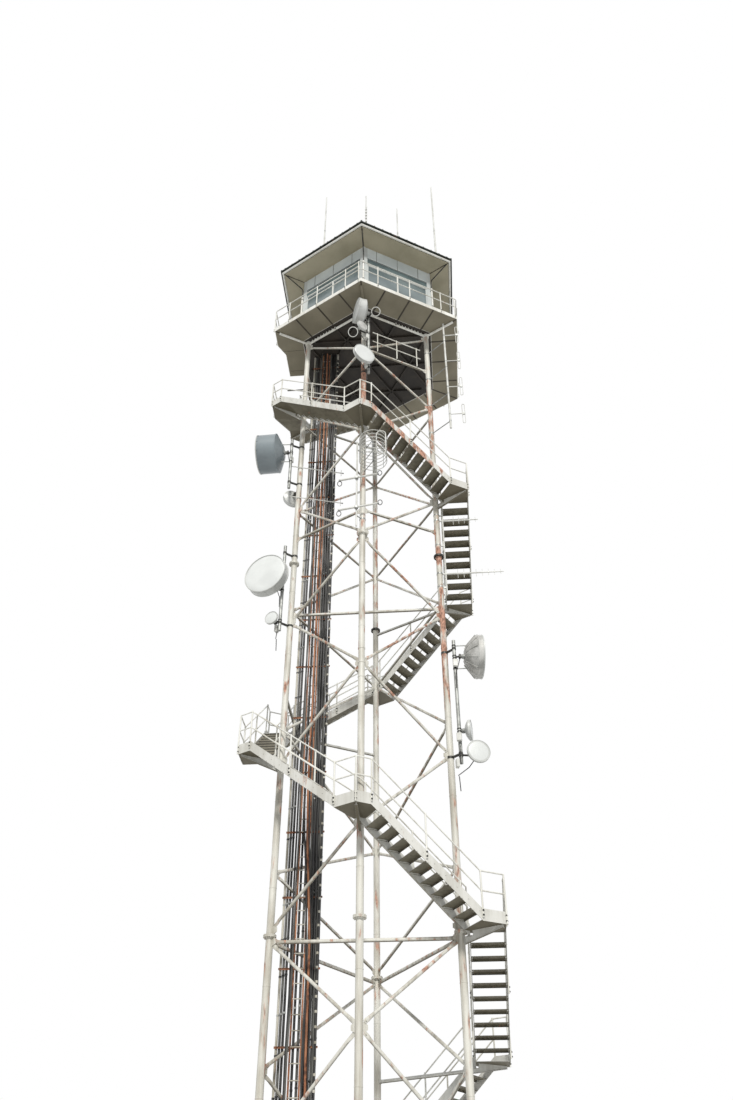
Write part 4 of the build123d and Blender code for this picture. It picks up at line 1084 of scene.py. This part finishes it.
def dish(shape, centre, angle, diameter, shroud, back, drum=0, front=1, ribs=0):
    """Smooth drum with its front cover, rolled rims and bowl."""
    facing = facing_way(angle)
    radius = diameter / 2
    rim = min(0.035, shroud / 4)
    dome = ((0.004, 0.4), (0.011, 0.75), (0.02, 0.93), (0.03, 0.965))
    cover = [(0.001, 0.001)] + [(far, radius * share) for far, share in dome]
    shape.turned(centre, -facing, cover, dish_sides, front)
    hoop = (
        (0.03, radius * 0.95), (0.012, radius * 0.966), (0.006, radius * 0.982), (0.01, radius),
        (rim, radius), (rim + 0.006, radius * 0.985),
    )
    shape.turned(centre, -facing, hoop, dish_sides)
    body = [
        (rim, radius * 0.984), (shroud - rim, radius * 0.984),
        (shroud - rim + 0.006, radius), (shroud, radius),
    ]
    for step in range(1, 9):
        share = step / 8
        bowl = radius * sqrt(1 - share * 8 / 9)
        cone = radius * (1 - share * 2 / 3)
        body.append((shroud + back * share, cone if drum == 3 else bowl))
    shape.turned(centre, -facing, body, dish_sides, drum)
    for spoke in circle(origin, up, up.cross(facing), 1, ribs):
        inner = centre - facing * (shroud + back * 0.94) + spoke * radius * 0.42
        outer = centre - facing * (shroud + 0.03) + spoke * radius * 0.96
        shape.strip(inner, outer, facing.cross(outer - inner), 0.02, 0.05, drum)
    if shroud > 0.2:
        for spoke in circle(origin, up, up.cross(facing), 1, 12):
            latch = centre - facing * 0.05 + spoke * radius * 0.99
            shape.block(latch, facing, facing.cross(spoke), (0.07, 0.03, 0.01), drum)


# Each dish: centre, direction, diameter, shroud and back, then finishes and ribs that differ
dish_groups = {
    "dishes_left": (
        ((-3.31, 1.01, 22.22), -92, 1.22, 0.61, 0.18, 3, 3),
        ((-2.72, 0.62, 17.33), -18, 1.22, 0.27, 0.09),
        ((-2.47, 0.76, 15.95), -20, 0.38, 0.06, 0.08),
        ((-2.33, 1.7, 20.9), -150, 0.56, 0.12, 0.06),
    ),
    "dishes_right": (
        ((2.96, 0.99, 14.6), 97, 1.12, 0.15, 0.3, 4, 1, 12),
        ((2.56, 0.96, 12.56), 82, 0.5, 0.07, 0.09),
        ((2.68, 0.76, 11.92), 16, 0.56, 0.06, 0.09),
    ),
    "dishes_near": (
        ((-0.22, -0.54, 27.03), -68, 0.84, 0.26, 0.11),
        ((0.02, -0.56, 26.23), 45, 0.37, 0.07, 0.07, 0, 4),
        ((0.09, -0.57, 24.84), 36, 0.72, 0.12, 0.09),
    ),
}
for node, group in dish_groups.items():
    drums = Shape()
    for centre, *rest in group:
        dish(drums, Vector(centre), *rest)
    make(drums, f"{node}_drums", (dish_shell, dish_white, zinc, slate, dish_back), "dish_plastic", node)

# Poles, clamps and arms that carry the dishes
brackets = Shape()
left_upper_pole = (-2.3, 1.0)
left_lower_pole = (-2.26, 0.96)
right_pole = (2.26, 0.95)
near_pole = (0.17, -0.19)
pole_spans = {
    left_upper_pole: (5, 20.75, 22.8),
    left_lower_pole: (5, 15.65, 18.5),
    right_pole: (1, 11.7, 15.1),
    near_pole: (0, 24.3, 27.35),
}
for place, (vertex, low, high) in pole_spans.items():
    length = high - low
    profile = ((0, 0.041), (0.004, 0.045), (length - 0.004, 0.045), (length, 0.041))
    brackets.turned(Vector((*place, low)), up, profile, tube_sides)
    for level in (low + 0.25, high - 0.25):
        leg = on_leg(vertex, level)
        pole = Vector((*place, level))
        brackets.strip(leg, pole, up, 0.05, 0.05, 1)
        brackets.band(leg - up * 0.03, leg_radius + 0.008, 0.06, leg_sides, 1)
        brackets.band(pole - up * 0.035, 0.053, 0.07, tube_sides, 1)
poles = {
    "dishes_left": (left_upper_pole, left_lower_pole, left_lower_pole, None),
    "dishes_right": (right_pole,) * 3,
    "dishes_near": (near_pole,) * 3,
}
hub = ((0, 0.058), (0.09, 0.058), (0.1, 0.045), (0.138, 0.045))
for node, group in dish_groups.items():
    for (centre, angle, diameter, shroud, back, *_), pole in zip(group, poles[node]):
        facing = facing_way(angle)
        beside = facing.cross(up)
        rear = Vector(centre) - facing * (shroud + back)
        brackets.turned(rear + facing * 0.02, -facing, hub, 20)
        elbow = rear - facing * 0.12
        start = on_leg(5, elbow.z) if pole is None else Vector((*pole, elbow.z))
        brackets.tube(start, elbow, 0.024, 12, 1)
        brackets.block(elbow, facing, up, (0.05, 0.1, 0.1), 1)
        for shift in (-0.047, 0.023):
            brackets.band(start + up * shift, 0.054, 0.024, tube_sides, 1)
        if diameter > 0.8:
            for way in (-1, 1):
                hold = rear + facing * back * 0.5 + up * way * diameter * 0.3
                seat = Vector((*start.xy, hold.z))
                brackets.tube(seat, hold, 0.014, 10)
                brackets.band(seat - up * 0.02, 0.052, 0.04, tube_sides, 1)
        if pole is not None:
            radio = start - up * 0.22 + beside * 0.09
            brackets.block(radio, up, facing, (0.2, 0.12, 0.08), 2)
            jumper = [elbow - up * 0.05, elbow.lerp(start, 0.5) - up * 0.3, radio - up * 0.3]
            jumper += [start - up * 0.55 + beside * 0.07, start - up * 0.9 + beside * 0.055]
            brackets.bent(jumper, 0.011, 8, 3)
for coil, size in (((0.43, -0.5, 26.95), 0.14), ((-0.3, -0.5, 25.98), 0.15)):
    brackets.bent(circle(Vector(coil), side_way, Vector((0, -0.5, 1)), size, 24), 0.013, 8, 2, True)
bracket_looks = (zinc, dark_steel, aerial_white, cable_black)
make(brackets, "dish_poles_and_clamps", bracket_looks, "bracket_steel", "dish_brackets")


# Folded dipoles: rounded loops on arms from one pole
def oblong(middle, height, width, across):
    """Points round an upright loop with half-round ends."""
    points = []
    for sign in (1, -1):
        for step in range(7):
            turn = pi * step / 6
            x = cos(turn) * sign * width / 2
            z = sin(turn) * sign * width / 2 + sign * (height - width) / 2
            points.append(middle + across * x + up * z)
    return points


def leg_clamp(shape, vertex, level, height=0.05):
    """Collar round a leg, centred on a level."""
    shape.band(on_leg(vertex, level - height / 2), leg_radius + 0.006, height, leg_sides, 1)


def steady(shape, vertex, pole, level):
    """Arm from a clamp on a leg to a pole."""
    shape.tube(on_leg(vertex, level), pole + up * level, 0.015, rail_sides, 1)
    leg_clamp(shape, vertex, level)


array = Shape()
pole = Vector((2.61, 0.65, 0))
array.tube(pole + up * 22.54, pole + up * 27.56, 0.032)
for level in (22.85, 24.1, 25.35, 26.65):
    steady(array, 1, pole, level)
    arm_start = pole + up * (level + 0.3)
    array.tube(arm_start, arm_start + side_way * 0.4, 0.014, rail_sides)
    for joint in (pole + up * level, arm_start):
        array.band(joint - up * 0.03, 0.034, 0.06, tube_sides, 1)
    middle = arm_start + side_way * 0.42
    array.bent(oblong(middle, 0.83, 0.076, side_way), 0.011, 8, 0, True)
    array.block(middle, up, side_way, (0.09, 0.085, 0.04), 1)
make(array, "dipole_loops", (aerial_white, zinc), "aerial_metal", "dipole_array")

booms = Shape()
pole = Vector((-0.15, -0.2, 0))
booms.tube(pole + up * 18.12, pole + up * 21.3, 0.024)
for level in (18.5, 21.0):
    steady(booms, 0, pole, level)
for level in (18.75, 19.85):
    middle = pole + Vector((0, -0.05, level))
    low = middle + Vector((-0.504, 0, -0.08))
    high = middle + Vector((0.616, 0, 0.11))
    booms.tube(low, high, 0.028, 14)
    booms.block(middle, side_way, up, (0.09, 0.09, 0.09), 1)
    for end, other, drop in ((low, high, -0.12), (high, low, 0.02)):
        booms.turned(end, other - end, ((0, 0.031), (0.05, 0.031)), 14, 1)
        ring = circle(end + Vector((0.03, 0, drop)), side_way * 0.06, up * 0.09, 1, 20)
        booms.bent(ring, 0.011, 8, 2, True)
make(booms, "near_boom_tubes", (aerial_white, zinc, dark_steel), "aerial_metal", "aerial_booms")

cage = Shape()
centre = Vector((0.33, -0.48, 20.65))
half_cage = up * 0.425
for index in range(-3, 4):
    middle = centre + up * (index * 0.14 + 0.01)
    cage.bent(circle(middle, side_way, ahead, 0.385, 32), 0.011, 8, 1, True)
    if index % 3 == 0:
        cage.tube(on_leg(0, middle.z), middle, 0.01, 8)
for foot in circle(centre - half_cage, side_way, ahead, 0.38, 8):
    cage.tube(foot, foot + half_cage * 2, 0.006, 8)
cage.tube(centre - half_cage, centre + half_cage, 0.02, 12)
cage.bent(oblong(centre + Vector((0.24, -0.22, 0.08)), 0.92, 0.26, side_way), 0.017, 10, 1, True)
for rise in (0.54, -0.38):
    cage.tube(centre + up * 0.2, centre + Vector((0.24, -0.22, rise)), 0.01, 8)
make(cage, "cage_hoops", (aerial_grey, aerial_white), "aerial_metal", "cage_aerial")

side_arms = Shape()
for level in (20.43, 21.65):
    start = Vector((*left_upper_pole, level)) + side_way * 0.045
    end = Vector((-0.72, 1.44, level))
    side_arms.tube(start, end, 0.015, rail_sides)
    for share in (0.45, 0.7, 0.95):
        middle = start.lerp(end, share)
        side_arms.tube(middle - up * 0.12, middle + up * 0.12, 0.007, 8)
    run = (end - start).normalized()
    side_arms.turned(end - run * 0.05, run, ((0, 0.018), (0.05, 0.018)), rail_sides, 1)
make(side_arms, "side_boom_tubes", (aerial_white, zinc), "aerial_metal", "side_booms")

yagis = Shape()
for tip_x, level, elements in ((3.75, 17.4, 8), (3.19, 19.3, 5)):
    start = on_leg(1, level) + side_way * leg_radius
    run = side_way * (tip_x - start.x)
    yagis.turned(start, run, ((0, 0.024), (run.length * 0.5, 0.022), (run.length, 0.014)), rail_sides)
    leg_clamp(yagis, 1, level)
    for index in range(elements):
        point = start + run * ((index + 2.5) / (elements + 2))
        half = up * 0.15 * (1 - 0.5 * index / elements)
        yagis.tube(point - half, point + half, 0.006, 8)
        yagis.block(point, side_way, up, (0.03, 0.03, 0.036), 1)
mast = right_leg + side_way * 0.17
yagis.tube(mast + up * 16.7, mast + up * 19.8, 0.02, 12)
for level in (16.95, 18.4, 19.5):
    yagis.block(on_leg(1, level) + side_way * 0.12, side_way, up, (0.12, 0.04, 0.03), 1)
    leg_clamp(yagis, 1, level, 0.04)
make(yagis, "yagi_rods", (aerial_white, zinc), "aerial_metal", "yagi_aerials")

# Plain pale floor with a faint drift of tone
floor_reach = 400
floor_z = -0.002
floor_mesh = bpy.data.meshes.new("floor")
corners = [(x * floor_reach, y * floor_reach, floor_z) for x, y in ((-1, -1), (1, -1), (1, 1), (-1, 1))]
floor_mesh.from_pydata(corners, [], [(0, 1, 2, 3)])
paint = Paint("floor_pale", 0.9)
tone = paint.mix(paint.noise(0.15), (0.78, 0.78, 0.77, 1), (0.82, 0.82, 0.81, 1))
floor_mesh.materials.append(paint.finish(tone))
floor = bpy.data.objects.new("floor", floor_mesh)
bpy.context.scene.collection.objects.link(floor)

# World: soft light on the tower, and plain white where the camera or a reflection looks past it
world = bpy.data.worlds.new("studio")
world.use_nodes = True
bpy.context.scene.world = world
tree = world.node_tree
tree.nodes.clear()
light_path = tree.nodes.new("ShaderNodeLightPath")
seen = light_path.outputs["Is Camera Ray"]
for ray in ("Is Glossy Ray", "Is Transmission Ray"):
    either = tree.nodes.new("ShaderNodeMath")
    either.operation = "MAXIMUM"
    tree.links.new(seen, either.inputs[0])
    tree.links.new(light_path.outputs[ray], either.inputs[1])
    seen = either.outputs[0]
blend = tree.nodes.new("ShaderNodeMixShader")
tree.links.new(seen, blend.inputs[0])
soft_light = ((0.93, 0.96, 1.0, 1.0), 0.42)
plain_white = ((1.0, 1.0, 1.0, 1.0), 1.0)
for place, (tone, strength) in enumerate((soft_light, plain_white), start=1):
    background = tree.nodes.new("ShaderNodeBackground")
    background.inputs["Color"].default_value = tone
    background.inputs["Strength"].default_value = strength
    tree.links.new(background.outputs[0], blend.inputs[place])
output = tree.nodes.new("ShaderNodeOutputWorld")
tree.links.new(blend.outputs[0], output.inputs["Surface"])

# Broad sun from the near left
lamp = bpy.data.lights.new("key", "SUN")
lamp.energy = 2.8
lamp.angle = radians(8)
lamp.color = (1.0, 0.97, 0.92)
key = bpy.data.objects.new("key", lamp)
key.rotation_euler = Vector((-0.08, 0.78, -0.62)).to_track_quat("-Z", "Y").to_euler()
bpy.context.scene.collection.objects.link(key)

# Camera fitted to the photograph
view = bpy.data.cameras.new("photo_view")
view.sensor_fit = "VERTICAL"
view.sensor_height = 36
view.lens = 30.295
view.clip_end = 1000
camera = bpy.data.objects.new("photo_view", view)
camera.matrix_world = Matrix(
    (
        (0.996518, 0.050120, 0.066633, 1.74237),
        (0.083334, -0.624761, -0.776356, -19.00989),
        (0.002718, 0.779206, -0.626762, 2.09520),
        (0, 0, 0, 1),
    )
)
bpy.context.scene.collection.objects.link(camera)
bpy.context.scene.camera = camera

bpy.context.scene.view_settings.view_transform = "Standard"
